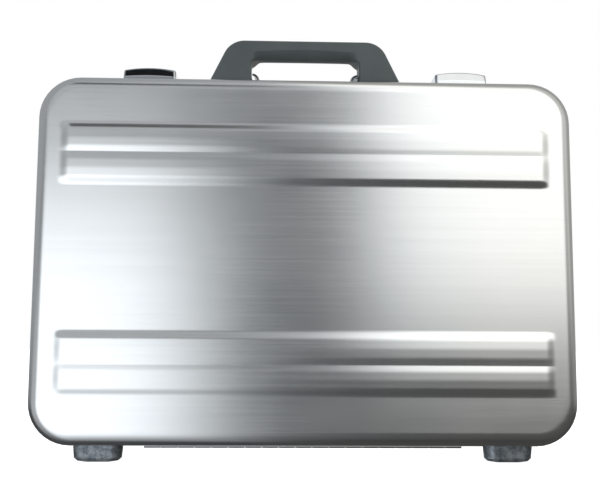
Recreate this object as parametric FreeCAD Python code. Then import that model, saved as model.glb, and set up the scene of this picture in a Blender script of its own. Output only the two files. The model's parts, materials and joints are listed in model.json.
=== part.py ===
"""Hard attache case: two ribbed aluminium shells on a piano hinge, with a tongue and
groove frame, folding lid stays, a drop handle, two combination locks and four feet.

Millimetres. +Z up, +X to the right, the lid faces -Y. The origin is on the floor under
the middle of the case's outer box. Every node is written to parts/NODE.step.
"""
import FreeCAD, Part
import math
import os

Vector = FreeCAD.Vector

# ---- overall sizes ----
CASE_WIDTH = 450.0
CASE_HEIGHT = 306.0
LID_DEPTH = 42.0            # lid face to the parting plane, without ribs
BASE_DEPTH = 58.0           # parting plane to the base face, without ribs
CORNER_R = 35.0             # corners seen from the front
FACE_EDGE_R = 12.0          # where a face turns into its side walls
SHEET = 1.3                 # shell wall
FOOT_HEIGHT = 14.0

# ---- pressed ribs, one pair above and one below the middle of each face ----
RIB_RISE = 2.0
RIB_VALLEY = 87.1           # middle of the pair, from the middle of the face
RIB_VALLEY_RISE = 1.5
RIB_LENGTH = 412.0          # along the face, at its foot
RIB_END_SLOPE = 5.0
RIB_INNER_FOOT = 26.9       # from the valley towards the middle of the face
RIB_INNER_SHOULDER = 19.3
RIB_INNER_CREST = 5.8
RIB_OUTER_FOOT = 24.4       # from the valley towards the rim
RIB_OUTER_SHOULDER = 19.9
RIB_OUTER_CREST = 4.7

# ---- rim frames: lip outside, flange inside the shell, tongue in a sealed groove ----
PARTING_GAP = 0.3
LIP_PROUD = 1.2
LIP_DEPTH = 7.0
LIP_INSET = 5.0
FLANGE_WALL = 1.8
FLANGE_DEPTH = 15.0
TONGUE_INSET = 1.45
TONGUE_WALL = 1.5
TONGUE_LENGTH = 3.15
GROOVE_INSET = 0.5
GROOVE_WIDTH = 3.4
GROOVE_DEPTH = 4.0
GASKET_WALL = 1.0
RIVET_R = 1.6
RIVET_HEAD_R = 3.0
RIVET_HEAD = 0.7
FRAME_RIVET_SETBACK = 6.0   # from the lip, along the flange
FRAME_RIVETS_SIDE = 4
FRAME_RIVET_PITCH = 62.0
FRAME_RIVETS_TOP = (-190.0, -20.0, 20.0, 190.0)

# ---- piano hinge ----
HINGE_LENGTH = 270.0
HINGE_KNUCKLES = 19
HINGE_KNUCKLE_R = 2.6
HINGE_PIN_R = 1.3
HINGE_BORE_R = 1.35
HINGE_LEAF_WALL = 1.2
HINGE_LEAF_WIDTH = 18.0
HINGE_RELIEF = 0.3
HINGE_END_GAP = 0.4         # between neighbouring knuckles
HINGE_RIVETS = 8
HINGE_RIVET_LINE = 13.0     # from the hinge axis, across the leaf

# ---- feet ----
FOOT_SPREAD = 340.0         # between the lid's feet, centre to centre
FOOT_LENGTH = 41.5
BASE_FOOT_SPREAD = 354.0
BASE_FOOT_LENGTH = 26.0
FOOT_WIDTH = 18.0
FOOT_TAPER = 1.2
FOOT_DOME = 3.2             # height of the dome under the straight skirt
FOOT_WAIST = (0.82, 0.74, 0.3)  # shares of length, width and dome height, half way down
FOOT_SOLE = (0.55, 0.45)    # shares of length and width of the flat sole
FOOT_LID_SETBACK = 16.5     # centre of a foot, from the parting plane
FOOT_BASE_SETBACK = 32.5
FOOT_SCREW_R = 2.0
FOOT_SCREW_HEAD_R = 3.6
FOOT_SCREW_HEAD = 1.6
FOOT_SCREW_BITE = 8.0

# ---- folding lid stays, a rhombus with the hinge ----
STAY_OFFSET = 12.0          # pivots, from the parting plane
STAY_RISE = 110.0           # pivots, above the hinge axis
STAY_WIDTH = 9.0
STAY_WALL = 1.2
STAY_GAP = 0.2              # between the two arms
STAY_LIP_GAP = 0.6          # from the lip to the nearer arm
STAY_PIN_R = 2.0
STAY_BORE_R = 2.05
STAY_HEAD_R = 3.5
STAY_HEAD = 0.9
STAY_WASH = 0.05

# ---- handle ----
HANDLE_PIVOT_Y = 8.0
HANDLE_DEPTH = 23.0
HANDLE_RISE = 48.6          # top of the grip, above the top of the case
HANDLE_INNER = 48.5         # inner side of a leg, from the middle
HANDLE_GRIP = 16.3          # grip, top to underside
HANDLE_GRIP_ROUND = 5.3
HANDLE_CHAMFER_X = 7.0      # where the grip's underside meets a leg
HANDLE_CHAMFER_Z = 4.3
HANDLE_INSIDE_R = 2.0
HANDLE_TOP_HALF = 67.15     # where the slanted side would meet the top line
HANDLE_SLANT = 0.487        # outward run of a side for each mm down
HANDLE_CORNER_R = 20.0
HANDLE_END_FLAT = 0.5       # half of the flat left under a leg's rounded end
HANDLE_FLOOR_GAP = 1.0      # under a leg, to the post's plate
HANDLE_PIN_R = 2.5
HANDLE_BORE_R = 2.55
HANDLE_LEG_GAP = 0.9        # leg to the domed lug beside it
POST_LENGTH = 32.0
POST_WIDTH = 17.0
POST_PLATE = 1.5
POST_LUG_WALL = 6.6
POST_LUG_R = 7.0
POST_LUG_FROM_END = 1.0
POST_PIN_SEAT = 5.1         # how far the pin is held in the lug
HANDLE_PIN_BITE = 14.0      # how far the pin reaches into the leg
HANDLE_BORE_SPARE = 1.0
POST_RIVETS_X = (13.8, 29.0)
POST_RIVETS_Y = (3.5, 11.5)
BACKPLATE_WALL = 1.2
BACKPLATE_WIDTH = 13.0

# ---- hasps on the lid ----
LOCK_SPREAD = 272.0         # between the two locks, centre to centre
HASP_HALF = 22.5
HASP_PIVOT_SETBACK = 12.5   # from the parting plane, towards the lid face
HASP_PIVOT_RISE = 6.0
HASP_TOP_RISE = 15.5
HASP_CROWN = 1.5
HASP_FRONT = 3.7            # front of the cover, from the pivot
HASP_REAR = 25.5            # rear of the cover, from the pivot
HASP_SKIRT_RISE = 3.3       # lower edge of the front and the cheeks
HASP_REAR_RISE = 11.4       # lower edge of the rear wall
HASP_WALL = 1.2
HASP_FRONT_R = 6.0
HASP_REAR_R = 3.0
HASP_PIN_R = 1.0
HASP_BORE_R = 1.03
HASP_LUG_R = 2.4
HASP_LUG_FROM = 12.4
HASP_LUG_TO = 16.0
BRACKET_KNUCKLE_R = 2.0
BRACKET_KNUCKLE_HALF = 11.5
BRACKET_SPRING_HALF = 4.5
BRACKET_PLATE_HALF = 20.0
BRACKET_PLATE_FRONT = 4.5   # plate edge, ahead of the pivot
BRACKET_PLATE = 1.0
BRACKET_ARM = 1.6
BRACKET_LIP_GAP = 0.2
BRACKET_RIVET_U = 16.0
SPRING_WIRE_R = 0.41
SPRING_COIL_R = 1.65
SPRING_TURNS = 12
SPRING_END_GAP = 0.2
HOOK_HALF = 1.5
HOOK_STEM = 2.0
HOOK_FOOT = 5.0
HOOK_FOOT_WALL = 2.0
HOOK_STEM_SETBACK = 9.0     # front of the stem, behind the parting plane
HOOK_FOOT_RISE = 3.0

# ---- combination locks on the base ----
HOUSING_NOSE_HALF = 20.5
HOUSING_NOSE_FRONT = 0.5    # behind the parting plane
HOUSING_NOSE_RISE = 11.0
HOUSING_STEP_GAP = 0.7      # hasp's rear to the tall part of the housing
HOUSING_EDGE_R = 1.6
HOUSING_LIP_GAP = 0.2
HOOK_SLOT_GAP = 1.0
HOOK_SLOT_BACK = 0.8
HOOK_SLOT_FLOOR = 0.6
BOLT_RISE = 5.8
BOLT_HEIGHT = 3.0
BOLT_WALL = 2.6
BOLT_ARM_FROM = -9.0
BOLT_ARM_WALL = 3.0
BOLT_TIP_TO = -2.2
BOLT_TIP_FRONT = 5.0        # behind the parting plane
BOLT_TIP_WALL = 3.5
BOLT_GAP = 0.3
SLIDE_TRAVEL = 4.0
BUTTON_GAP = 1.1            # hasp's side to the thumb button
BUTTON_LENGTH = 6.4
BUTTON_FRONT = 2.5          # behind the parting plane
BUTTON_WIDTH = 15.0
BUTTON_HIGH_RISE = 13.5
BUTTON_LOW_RISE = 3.2
BUTTON_FLOOR_RISE = 1.6
BUTTON_EDGE_R = 1.0
DIAL_R = 6.2
DIAL_WIDTH = 6.0
DIAL_PITCH = 9.0
DIALS = 3
DIAL_GAP = 0.3
DIAL_BOLT_WALL = 0.6        # housing wall between the bolt's room and a dial's
DIAL_FLOOR = 1.1            # housing wall under a dial
DIAL_PROUD = 0.8            # dial above the housing
DIAL_BACK_WALL = 2.0
DIAL_NOTCHES = 10
DIAL_NOTCH_R = 0.7
SPINDLE_R = 1.2
SPINDLE_BORE_R = 1.25
SPINDLE_LENGTH = 32.0
LOCK_SCREW_R = 1.5
LOCK_SCREW_HEAD_R = 2.8
LOCK_SCREW_HEAD = 1.0
LOCK_SCREW_BITE = 4.0
LOCK_SCREWS = ((-15.5, 10.0), (15.5, 10.0), (-17.5, 18.5), (17.5, 18.5))

# ---- lining ----
LINING_WALL = 3.0
LINING_SHELL_GAP = 0.2
LINING_FLANGE_GAP = 0.5
LINING_SCREW_GAP = 0.5
POCKET_WIDTH = 380.0
POCKET_HEIGHT = 190.0
POCKET_WALL = 3.2
POCKET_CORNER_R = 14.0
POCKET_GAP = 0.3
POCKET_FROM_FLOOR = 24.0    # above the bottom of the case

# ---- derived places ----
CASE_BOTTOM = FOOT_HEIGHT
CASE_TOP = FOOT_HEIGHT + CASE_HEIGHT
CASE_MIDDLE = FOOT_HEIGHT + CASE_HEIGHT / 2
PARTING = LID_DEPTH - (LID_DEPTH + BASE_DEPTH) / 2
LID_FACE = PARTING - LID_DEPTH
BASE_FACE = PARTING + BASE_DEPTH
LID_MOUTH = PARTING - PARTING_GAP / 2
BASE_MOUTH = PARTING + PARTING_GAP / 2
LID_WALL_END = PARTING - LIP_DEPTH
BASE_WALL_END = PARTING + LIP_DEPTH
FLANGE_INSET = SHEET + FLANGE_WALL
LID_FLANGE_END = LID_WALL_END - FLANGE_DEPTH
BASE_FLANGE_END = BASE_WALL_END + FLANGE_DEPTH
LIP_TOP = CASE_TOP + LIP_PROUD
HINGE_Y = PARTING
HINGE_Z = CASE_BOTTOM - HINGE_KNUCKLE_R
HASP_Y = PARTING - HASP_PIVOT_SETBACK
HASP_Z = CASE_TOP + HASP_PIVOT_RISE
LOCK_X = LOCK_SPREAD / 2
HASP_BACK = HASP_Y + HASP_REAR
BOLT_BAR_Y = HASP_BACK + HOUSING_STEP_GAP + BOLT_GAP
DIAL_Y = BOLT_BAR_Y + BOLT_WALL + BOLT_GAP + DIAL_BOLT_WALL + DIAL_GAP + DIAL_R
DIAL_Z = CASE_TOP + DIAL_FLOOR + DIAL_GAP + DIAL_R
HOUSING_BACK = DIAL_Y + DIAL_R + DIAL_GAP + DIAL_BACK_WALL
HOUSING_TOP = DIAL_Z + DIAL_R - DIAL_PROUD
HANDLE_END_R = HANDLE_DEPTH / 2 - HANDLE_END_FLAT
HANDLE_Z = CASE_TOP + POST_PLATE + HANDLE_FLOOR_GAP + HANDLE_DEPTH / 2
X_AXIS = Vector(1, 0, 0)
Y_AXIS = Vector(0, 1, 0)
Z_AXIS = Vector(0, 0, 1)
CUT_SPARE = 1.0             # how far a cutter runs past what it cuts


# ---- shape helpers ----

def box(x0, x1, y0, y1, z0, z1):
    """Block between two x, two y and two z values."""
    return Part.makeBox(x1 - x0, y1 - y0, z1 - z0, Vector(x0, y0, z0))


def rod(radius, x0, x1, y, z):
    """Round bar along X."""
    return Part.makeCylinder(radius, x1 - x0, Vector(x0, y, z), X_AXIS)


def post(radius, x, y, z0, z1):
    """Round bar along Z."""
    return Part.makeCylinder(radius, z1 - z0, Vector(x, y, z0), Z_AXIS)


def union(shapes):
    """One solid from shapes that touch or overlap."""
    return shapes[0].multiFuse(shapes[1:]).removeSplitter()


def group(solids):
    """Separate identical solids kept together in one node."""
    return Part.makeCompound(solids)


def mirrored(shape):
    """The same piece on the other side of the case."""
    return shape.mirror(Vector(0, 0, 0), X_AXIS)


def edges_along(shape, axis):
    """Straight edges parallel to an axis."""
    found = []
    for edge in shape.Edges:
        if isinstance(edge.Curve, Part.Line):
            if abs(abs(edge.tangentAt(edge.FirstParameter).dot(axis)) - 1) < 1e-6:
                found.append(edge)
    return found


def edges_at(shape, axis, level):
    """Edges that lie in the plane at this level along an axis."""
    return [edge for edge in shape.Edges
            if all(abs(v.Point.dot(axis) - level) < 1e-4 for v in edge.Vertexes)]


def outline(corners, place):
    """Closed face through corners (a, b, radius); place turns (a, b) into a point."""
    count = len(corners)
    starts = []
    ends = []
    middles = []
    for i, (a, b, radius) in enumerate(corners):
        here = place(a, b)
        to_last = (place(*corners[i - 1][:2]) - here).normalize()
        to_next = (place(*corners[(i + 1) % count][:2]) - here).normalize()
        half = to_last.getAngle(to_next) / 2
        run = radius / math.tan(half)
        bisector = (to_last + to_next).normalize()
        starts.append(here + to_last * run)
        ends.append(here + to_next * run)
        middles.append(here + bisector * (radius / math.sin(half) - radius))
    edges = []
    for i in range(count):
        if corners[i][2] > 0:
            edges.append(Part.Arc(starts[i], middles[i], ends[i]).toShape())
        following = starts[(i + 1) % count]
        if (following - ends[i]).Length > 1e-6:
            edges.append(Part.LineSegment(ends[i], following).toShape())
    return Part.Face(Part.Wire(edges))


def side_prism(corners, x0, x1):
    """Profile in (y, z) carried along X."""
    face = outline(corners, lambda y, z: Vector(x0, y, z))
    return face.extrude(X_AXIS * (x1 - x0))


def front_prism(corners, y0, y1):
    """Profile in (x, z) carried along Y."""
    face = outline(corners, lambda x, z: Vector(x, y0, z))
    return face.extrude(Y_AXIS * (y1 - y0))


def case_prism(inset, y0, y1):
    """The case's rounded front outline, moved in by inset, carried along Y."""
    half = CASE_WIDTH / 2 - inset
    low = CASE_BOTTOM + inset
    high = CASE_TOP - inset
    block = box(-half, half, y0, y1, low, high)
    return block.makeFillet(CORNER_R - inset, edges_along(block, Y_AXIS))


def ring(inset_out, inset_in, y0, y1):
    """Band that follows the case's outline between two insets."""
    outer = case_prism(inset_out, y0, y1)
    return outer.cut(case_prism(inset_in, y0 - CUT_SPARE, y1 + CUT_SPARE))


def case_bowl(inset, y_mouth, y_face):
    """Solid half of the case with its face edge rounded."""
    low = min(y_mouth, y_face)
    high = max(y_mouth, y_face)
    block = case_prism(inset, low, high)
    return block.makeFillet(FACE_EDGE_R - inset, edges_at(block, Y_AXIS, y_face))


def rib_pair(side, face, outward):
    """Two pressed ribs with a sharp valley between them, above or below the middle."""
    foot = face - outward * CUT_SPARE
    profile = [(-RIB_INNER_FOOT, 0), (-RIB_INNER_SHOULDER, RIB_RISE),
               (-RIB_INNER_CREST, RIB_RISE), (0, RIB_VALLEY_RISE),
               (RIB_OUTER_CREST, RIB_RISE), (RIB_OUTER_SHOULDER, RIB_RISE),
               (RIB_OUTER_FOOT, 0)]
    corners = [(face + outward * rise, CASE_MIDDLE + side * (RIB_VALLEY + across), 0)
               for across, rise in profile]
    corners.append((foot, corners[-1][1], 0))
    corners.append((foot, corners[0][1], 0))
    half = RIB_LENGTH / 2
    bar = side_prism(corners, -half, half)
    crest = face + outward * RIB_RISE
    ends = [Vector(-half, foot, 0), Vector(-half, face, 0),
            Vector(-half + RIB_END_SLOPE, crest, 0), Vector(half - RIB_END_SLOPE, crest, 0),
            Vector(half, face, 0), Vector(half, foot, 0), Vector(-half, foot, 0)]
    plan = Part.Face(Part.makePolygon(ends)).extrude(Z_AXIS * (CASE_TOP + CUT_SPARE))
    return bar.common(plan)


def half_shell(y_mouth, y_face, outward):
    """Drawn sheet shell: outer bowl with ribs, less the same shape one wall further in."""
    outer = case_bowl(0, y_mouth, y_face)
    outer = union([outer] + [rib_pair(side, y_face, outward) for side in (-1, 1)])
    inner_face = y_face - outward * SHEET
    inner = case_bowl(SHEET, y_mouth - outward * CUT_SPARE, inner_face)
    inner = union([inner] + [rib_pair(side, inner_face, outward) for side in (-1, 1)])
    return outer.cut(inner)


def rivet(x, y, z, direction, grip, head_out=RIVET_HEAD, head_in=RIVET_HEAD, radius=RIVET_R):
    """Rivet from an outer face at (x, y, z) inwards through a grip, with its two heads."""
    start = Vector(x, y, z)
    parts = [Part.makeCylinder(radius, grip, start, direction)]
    if head_out > 0:
        parts.append(Part.makeCylinder(RIVET_HEAD_R, head_out, start - direction * head_out,
                                       direction))
    if head_in > 0:
        parts.append(Part.makeCylinder(RIVET_HEAD_R, head_in, start + direction * grip,
                                       direction))
    return union(parts) if len(parts) > 1 else parts[0]


# ---- fastener places, shared by the rivets and the holes they fill ----

def frame_rivets(y):
    """Rivets through the shell wall and the flange, down both sides and along the top."""
    grip = SHEET + FLANGE_WALL
    solids = []
    first = CASE_MIDDLE - FRAME_RIVET_PITCH * (FRAME_RIVETS_SIDE - 1) / 2
    for i in range(FRAME_RIVETS_SIDE):
        z = first + i * FRAME_RIVET_PITCH
        solids.append(rivet(-CASE_WIDTH / 2, y, z, X_AXIS, grip))
        solids.append(rivet(CASE_WIDTH / 2, y, z, X_AXIS * -1, grip))
    for x in FRAME_RIVETS_TOP:
        solids.append(rivet(x, y, CASE_TOP, Z_AXIS * -1, grip))
    return solids


def hinge_rivets(y):
    """Rivets through a hinge leaf, the shell's bottom wall and the flange."""
    pitch = HINGE_LENGTH / HINGE_RIVETS
    grip = HINGE_LEAF_WALL + SHEET + FLANGE_WALL
    start = CASE_BOTTOM - HINGE_LEAF_WALL
    return [rivet(-HINGE_LENGTH / 2 + (i + 0.5) * pitch, y, start, Z_AXIS, grip)
            for i in range(HINGE_RIVETS)]


def foot_screw(x, y, wall):
    """Screw from inside the case down into a foot."""
    top = CASE_BOTTOM + wall
    shank = post(FOOT_SCREW_R, x, y, CASE_BOTTOM - FOOT_SCREW_BITE, top)
    head = post(FOOT_SCREW_HEAD_R, x, y, top, top + FOOT_SCREW_HEAD)
    return union([shank, head])


def post_rivets():
    """Flush rivets through both handle posts, the shell, the flange and the backplates."""
    grip = POST_PLATE + SHEET + FLANGE_WALL + BACKPLATE_WALL
    left = post_left_edge()
    solids = []
    for dx in POST_RIVETS_X:
        for y in POST_RIVETS_Y:
            one = rivet(left + dx, y, CASE_TOP + POST_PLATE, Z_AXIS * -1, grip, head_out=0)
            solids += [one, mirrored(one)]
    return solids


def bracket_rivets():
    """Flush rivets through each hasp bracket and the lid's top wall and flange."""
    y = HASP_Y
    grip = BRACKET_PLATE + SHEET + FLANGE_WALL
    solids = []
    for u in (-BRACKET_RIVET_U, BRACKET_RIVET_U):
        one = rivet(LOCK_X - u, y, CASE_TOP + BRACKET_PLATE, Z_AXIS * -1, grip, head_out=0)
        solids += [one, mirrored(one)]
    return solids


def lock_screws():
    """Screws from inside the case up into each lock housing."""
    seat = CASE_TOP - SHEET - FLANGE_WALL
    solids = []
    for u, setback in LOCK_SCREWS:
        x = LOCK_X - u
        y = PARTING + setback
        shank = post(LOCK_SCREW_R, x, y, seat, CASE_TOP + LOCK_SCREW_BITE)
        head = post(LOCK_SCREW_HEAD_R, x, y, seat - LOCK_SCREW_HEAD, seat)
        one = union([shank, head])
        solids += [one, mirrored(one)]
    return solids


# ---- rim frames ----

def hinge_relief():
    """Room for the hinge: the proud lip is left out and the knuckles turn freely."""
    half = HINGE_LENGTH / 2 + CUT_SPARE
    strip = box(-half, half, PARTING - LIP_DEPTH - CUT_SPARE, PARTING + LIP_DEPTH + CUT_SPARE,
                CASE_BOTTOM - LIP_PROUD - CUT_SPARE, CASE_BOTTOM)
    return union([strip, rod(HINGE_KNUCKLE_R + HINGE_RELIEF, -half, half, HINGE_Y, HINGE_Z)])


def base_frame(holes):
    """Base rim: lip with the sealing groove, and the flange inside the shell."""
    lip = ring(-LIP_PROUD, LIP_INSET, BASE_MOUTH, BASE_WALL_END)
    flange = ring(SHEET, FLANGE_INSET, BASE_WALL_END, BASE_FLANGE_END)
    groove = ring(GROOVE_INSET, GROOVE_INSET + GROOVE_WIDTH, BASE_MOUTH - CUT_SPARE,
                  BASE_MOUTH + GROOVE_DEPTH)
    body = union([lip, flange]).cut(groove).cut(hinge_relief())
    return body.cut(group(holes))


def lid_frame(holes):
    """Lid rim: lip, flange, and the tongue that drops into the base's groove."""
    lip = ring(-LIP_PROUD, LIP_INSET, LID_WALL_END, LID_MOUTH)
    flange = ring(SHEET, FLANGE_INSET, LID_FLANGE_END, LID_WALL_END)
    tongue = ring(TONGUE_INSET, TONGUE_INSET + TONGUE_WALL, LID_MOUTH,
                  LID_MOUTH + TONGUE_LENGTH)
    body = union([lip, flange, tongue]).cut(hinge_relief())
    return body.cut(group(holes))


def gasket():
    """Rubber cord in the bottom of the groove."""
    bottom = BASE_MOUTH + GROOVE_DEPTH
    return ring(GROOVE_INSET, GROOVE_INSET + GROOVE_WIDTH, bottom - GASKET_WALL, bottom)


# ---- piano hinge ----

def hinge_leaf(outward, parity, holes):
    """Flat leaf with every second knuckle, cleared for the other leaf's knuckles."""
    half = HINGE_LENGTH / 2
    pitch = HINGE_LENGTH / HINGE_KNUCKLES
    low = min(HINGE_Y, HINGE_Y + outward * HINGE_LEAF_WIDTH)
    high = max(HINGE_Y, HINGE_Y + outward * HINGE_LEAF_WIDTH)
    plate = box(-half, half, low, high, CASE_BOTTOM - HINGE_LEAF_WALL, CASE_BOTTOM)
    knuckles = []
    clearances = []
    for i in range(HINGE_KNUCKLES):
        x0 = -half + i * pitch
        if i % 2 == parity:
            knuckles.append(rod(HINGE_KNUCKLE_R, x0 + HINGE_END_GAP / 2,
                                x0 + pitch - HINGE_END_GAP / 2, HINGE_Y, HINGE_Z))
        else:
            clearances.append(rod(HINGE_KNUCKLE_R + HINGE_RELIEF, x0 - HINGE_END_GAP / 2,
                                  x0 + pitch + HINGE_END_GAP / 2, HINGE_Y, HINGE_Z))
    plate = plate.cut(group(clearances))
    leaf = union([plate] + knuckles)
    bore = rod(HINGE_BORE_R, -half - CUT_SPARE, half + CUT_SPARE, HINGE_Y, HINGE_Z)
    return leaf.cut(bore).cut(group(holes))


def hinge_pin():
    """The one long pin of the hinge."""
    return rod(HINGE_PIN_R, -HINGE_LENGTH / 2, HINGE_LENGTH / 2, HINGE_Y, HINGE_Z)


# ---- feet ----

def foot(x, y, length):
    """Long oval foot: straight skirt, slight taper, and a shallow dome cut flat below."""
    half_length = length / 2
    end = FOOT_WIDTH / 2
    top = oval(x, y, CASE_BOTTOM, half_length, end)
    low = oval(x, y, FOOT_DOME, half_length - FOOT_TAPER, end - FOOT_TAPER)
    skirt = Part.makeLoft([top, low], True)
    sole = oval(x, y, 0, half_length * FOOT_SOLE[0], end * FOOT_SOLE[1])
    waist = oval(x, y, FOOT_DOME * FOOT_WAIST[2], half_length * FOOT_WAIST[0],
                 end * FOOT_WAIST[1])
    dome = Part.makeLoft([low, waist, sole], True, True)
    return union([skirt, dome])


def oval(x, y, z, half_length, half_width):
    """Stadium-shaped outline in a level plane."""
    straight = half_length - half_width
    left = x - straight
    right = x + straight
    edges = [
        Part.LineSegment(Vector(left, y - half_width, z), Vector(right, y - half_width, z)),
        Part.Arc(Vector(right, y - half_width, z), Vector(right + half_width, y, z),
                 Vector(right, y + half_width, z)),
        Part.LineSegment(Vector(right, y + half_width, z), Vector(left, y + half_width, z)),
        Part.Arc(Vector(left, y + half_width, z), Vector(left - half_width, y, z),
                 Vector(left, y - half_width, z))]
    return Part.Wire([edge.toShape() for edge in edges])


# ---- lid stays ----

def stay_layers():
    """Distances from the middle: lid arm's outer side, and the base arm's two sides."""
    lid_outer = CASE_WIDTH / 2 - LIP_INSET - STAY_LIP_GAP
    lid_inner = lid_outer - STAY_WALL
    base_outer = lid_inner - STAY_GAP
    return lid_outer, lid_inner, base_outer, base_outer - STAY_WALL


def stay_points():
    """Pivots on the base and the lid, and where the two arms meet when closed."""
    z = HINGE_Z + STAY_RISE
    return (PARTING + STAY_OFFSET, z), (PARTING - STAY_OFFSET, z), (PARTING, z + STAY_RISE)


def stay_arm(start, end, x0, x1):
    """Flat link with round ends and a hole at each end."""
    (y0, z0), (y1, z1) = start, end
    length = math.hypot(y1 - y0, z1 - z0)
    across = Vector(0, (z1 - z0) / length, (y0 - y1) / length) * (STAY_WIDTH / 2)
    first = Vector(x0, y0, z0)
    last = Vector(x0, y1, z1)
    corners = [first - across, last - across, last + across, first + across, first - across]
    bar = Part.Face(Part.makePolygon(corners)).extrude(X_AXIS * (x1 - x0))
    ends = [rod(STAY_WIDTH / 2, x0, x1, y, z) for y, z in (start, end)]
    holes = [rod(STAY_BORE_R, x0 - CUT_SPARE, x1 + CUT_SPARE, y, z) for y, z in (start, end)]
    return union([bar] + ends).cut(group(holes))


def stay_pivot(point, arm_outer, arm_inner):
    """Shouldered rivet from a frame flange inwards through an arm."""
    y, z = point
    flange_outer = CASE_WIDTH / 2 - SHEET
    flange_inner = flange_outer - FLANGE_WALL
    shank = rod(STAY_PIN_R, arm_inner - STAY_HEAD, flange_outer, y, z)
    shoulder = rod(STAY_HEAD_R, arm_outer + STAY_WASH, flange_inner, y, z)
    head = rod(STAY_HEAD_R, arm_inner - STAY_WASH - STAY_HEAD, arm_inner - STAY_WASH, y, z)
    return union([shank, shoulder, head])


def stay_mid_pin():
    """Pin that joins the two arms of a stay, headed on both sides."""
    lid_outer, lid_inner, base_outer, base_inner = stay_layers()
    y, z = stay_points()[2]
    shank = rod(STAY_PIN_R, base_inner - STAY_WASH, lid_outer + STAY_WASH, y, z)
    inner = rod(STAY_HEAD_R, base_inner - STAY_WASH - STAY_HEAD, base_inner - STAY_WASH, y, z)
    outer = rod(STAY_HEAD_R, lid_outer + STAY_WASH, lid_outer + STAY_LIP_GAP / 2 + STAY_WASH,
                y, z)
    return union([inner, shank, outer])


# ---- handle ----

def post_left_edge():
    """Inner end of the right-hand post's plate."""
    return HANDLE_INNER - HANDLE_LEG_GAP - POST_LUG_WALL - POST_LUG_FROM_END


def handle_post(holes):
    """Right-hand post: a plate under the leg and a domed lug beside it."""
    left = post_left_edge()
    plate_top = CASE_TOP + POST_PLATE
    y0 = HANDLE_PIVOT_Y - POST_WIDTH / 2
    plate = box(left, left + POST_LENGTH, y0, y0 + POST_WIDTH, CASE_TOP, plate_top)
    plate = plate.makeFillet(POST_PLATE * 2, edges_along(plate, Z_AXIS))
    lug_start = left + POST_LUG_FROM_END
    lug_end = lug_start + POST_LUG_WALL
    boss = rod(POST_LUG_R, lug_start, lug_end, HANDLE_PIVOT_Y, HANDLE_Z)
    web = box(lug_start, lug_end, HANDLE_PIVOT_Y - POST_LUG_R, HANDLE_PIVOT_Y + POST_LUG_R,
              plate_top - POST_PLATE / 2, HANDLE_Z)
    body = union([plate, boss, web])
    dome_edges = [edge for edge in body.Edges
                  if all(abs(v.X - lug_start) < 1e-4 for v in edge.Vertexes)
                  and isinstance(edge.Curve, Part.Circle)]
    body = body.makeFillet(POST_LUG_WALL / 3, dome_edges)
    bore = rod(HANDLE_PIN_R, lug_end - POST_PIN_SEAT, lug_end + CUT_SPARE, HANDLE_PIVOT_Y,
               HANDLE_Z)
    return body.cut(bore).cut(group(holes))


def handle_pin():
    """Right-hand pivot pin, held in the post's lug, on which the handle's leg turns."""
    held_from = HANDLE_INNER - HANDLE_LEG_GAP - POST_PIN_SEAT
    return rod(HANDLE_PIN_R, held_from, HANDLE_INNER + HANDLE_PIN_BITE, HANDLE_PIVOT_Y,
               HANDLE_Z)


def handle():
    """Moulded handle: slanted legs, flat faces, and a grip rounded underneath."""
    top = CASE_TOP + HANDLE_RISE
    under = top - HANDLE_GRIP
    front = HANDLE_PIVOT_Y - HANDLE_DEPTH / 2
    back = HANDLE_PIVOT_Y + HANDLE_DEPTH / 2
    foot_z = HANDLE_Z - HANDLE_DEPTH / 2
    foot_x = HANDLE_TOP_HALF + HANDLE_SLANT * (top - foot_z)
    right = [(HANDLE_INNER - HANDLE_CHAMFER_X, under, HANDLE_INSIDE_R),
             (HANDLE_INNER, under - HANDLE_CHAMFER_Z, HANDLE_INSIDE_R),
             (HANDLE_INNER, foot_z, 0), (foot_x, foot_z, 0),
             (HANDLE_TOP_HALF, top, HANDLE_CORNER_R)]
    left = [(-x, z, radius) for x, z, radius in reversed(right)]
    slab = front_prism(right + left, front, back)
    section = [(front, foot_z, HANDLE_END_R), (back, foot_z, HANDLE_END_R), (back, top, 0),
               (front, top, 0)]
    body = slab.common(side_prism(section, -foot_x, foot_x))
    half = HANDLE_INNER - HANDLE_CHAMFER_X
    waste = box(-half, half, front - CUT_SPARE, back + CUT_SPARE, under - CUT_SPARE,
                under + HANDLE_GRIP_ROUND)
    grip = [(front, under, HANDLE_GRIP_ROUND), (back, under, HANDLE_GRIP_ROUND),
            (back, top, 0), (front, top, 0)]
    body = body.cut(waste.cut(side_prism(grip, -half - CUT_SPARE, half + CUT_SPARE)))
    bore = rod(HANDLE_BORE_R, HANDLE_INNER - CUT_SPARE,
               HANDLE_INNER + HANDLE_PIN_BITE + HANDLE_BORE_SPARE, HANDLE_PIVOT_Y, HANDLE_Z)
    return body.cut(group([bore, mirrored(bore)])).removeSplitter()


def backplate(holes):
    """Strengthening plate under the flange below the right-hand post."""
    left = post_left_edge()
    high = CASE_TOP - SHEET - FLANGE_WALL
    middle = sum(POST_RIVETS_Y) / len(POST_RIVETS_Y)
    y0 = middle - BACKPLATE_WIDTH / 2
    plate = box(left, left + POST_LENGTH, y0, y0 + BACKPLATE_WIDTH, high - BACKPLATE_WALL, high)
    return plate.cut(group(holes))


# ---- hasp, bracket, spring (right-hand lock; u runs from its middle to the handle) ----

def lock_box(u0, u1, y0, y1, z0, z1):
    """Block placed by u, the distance from the lock's middle towards the handle."""
    return box(LOCK_X - u1, LOCK_X - u0, y0, y1, z0, z1)


def lock_rod(radius, u0, u1, y, z):
    """Round bar along X, placed by u."""
    return rod(radius, LOCK_X - u1, LOCK_X - u0, y, z)


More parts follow.
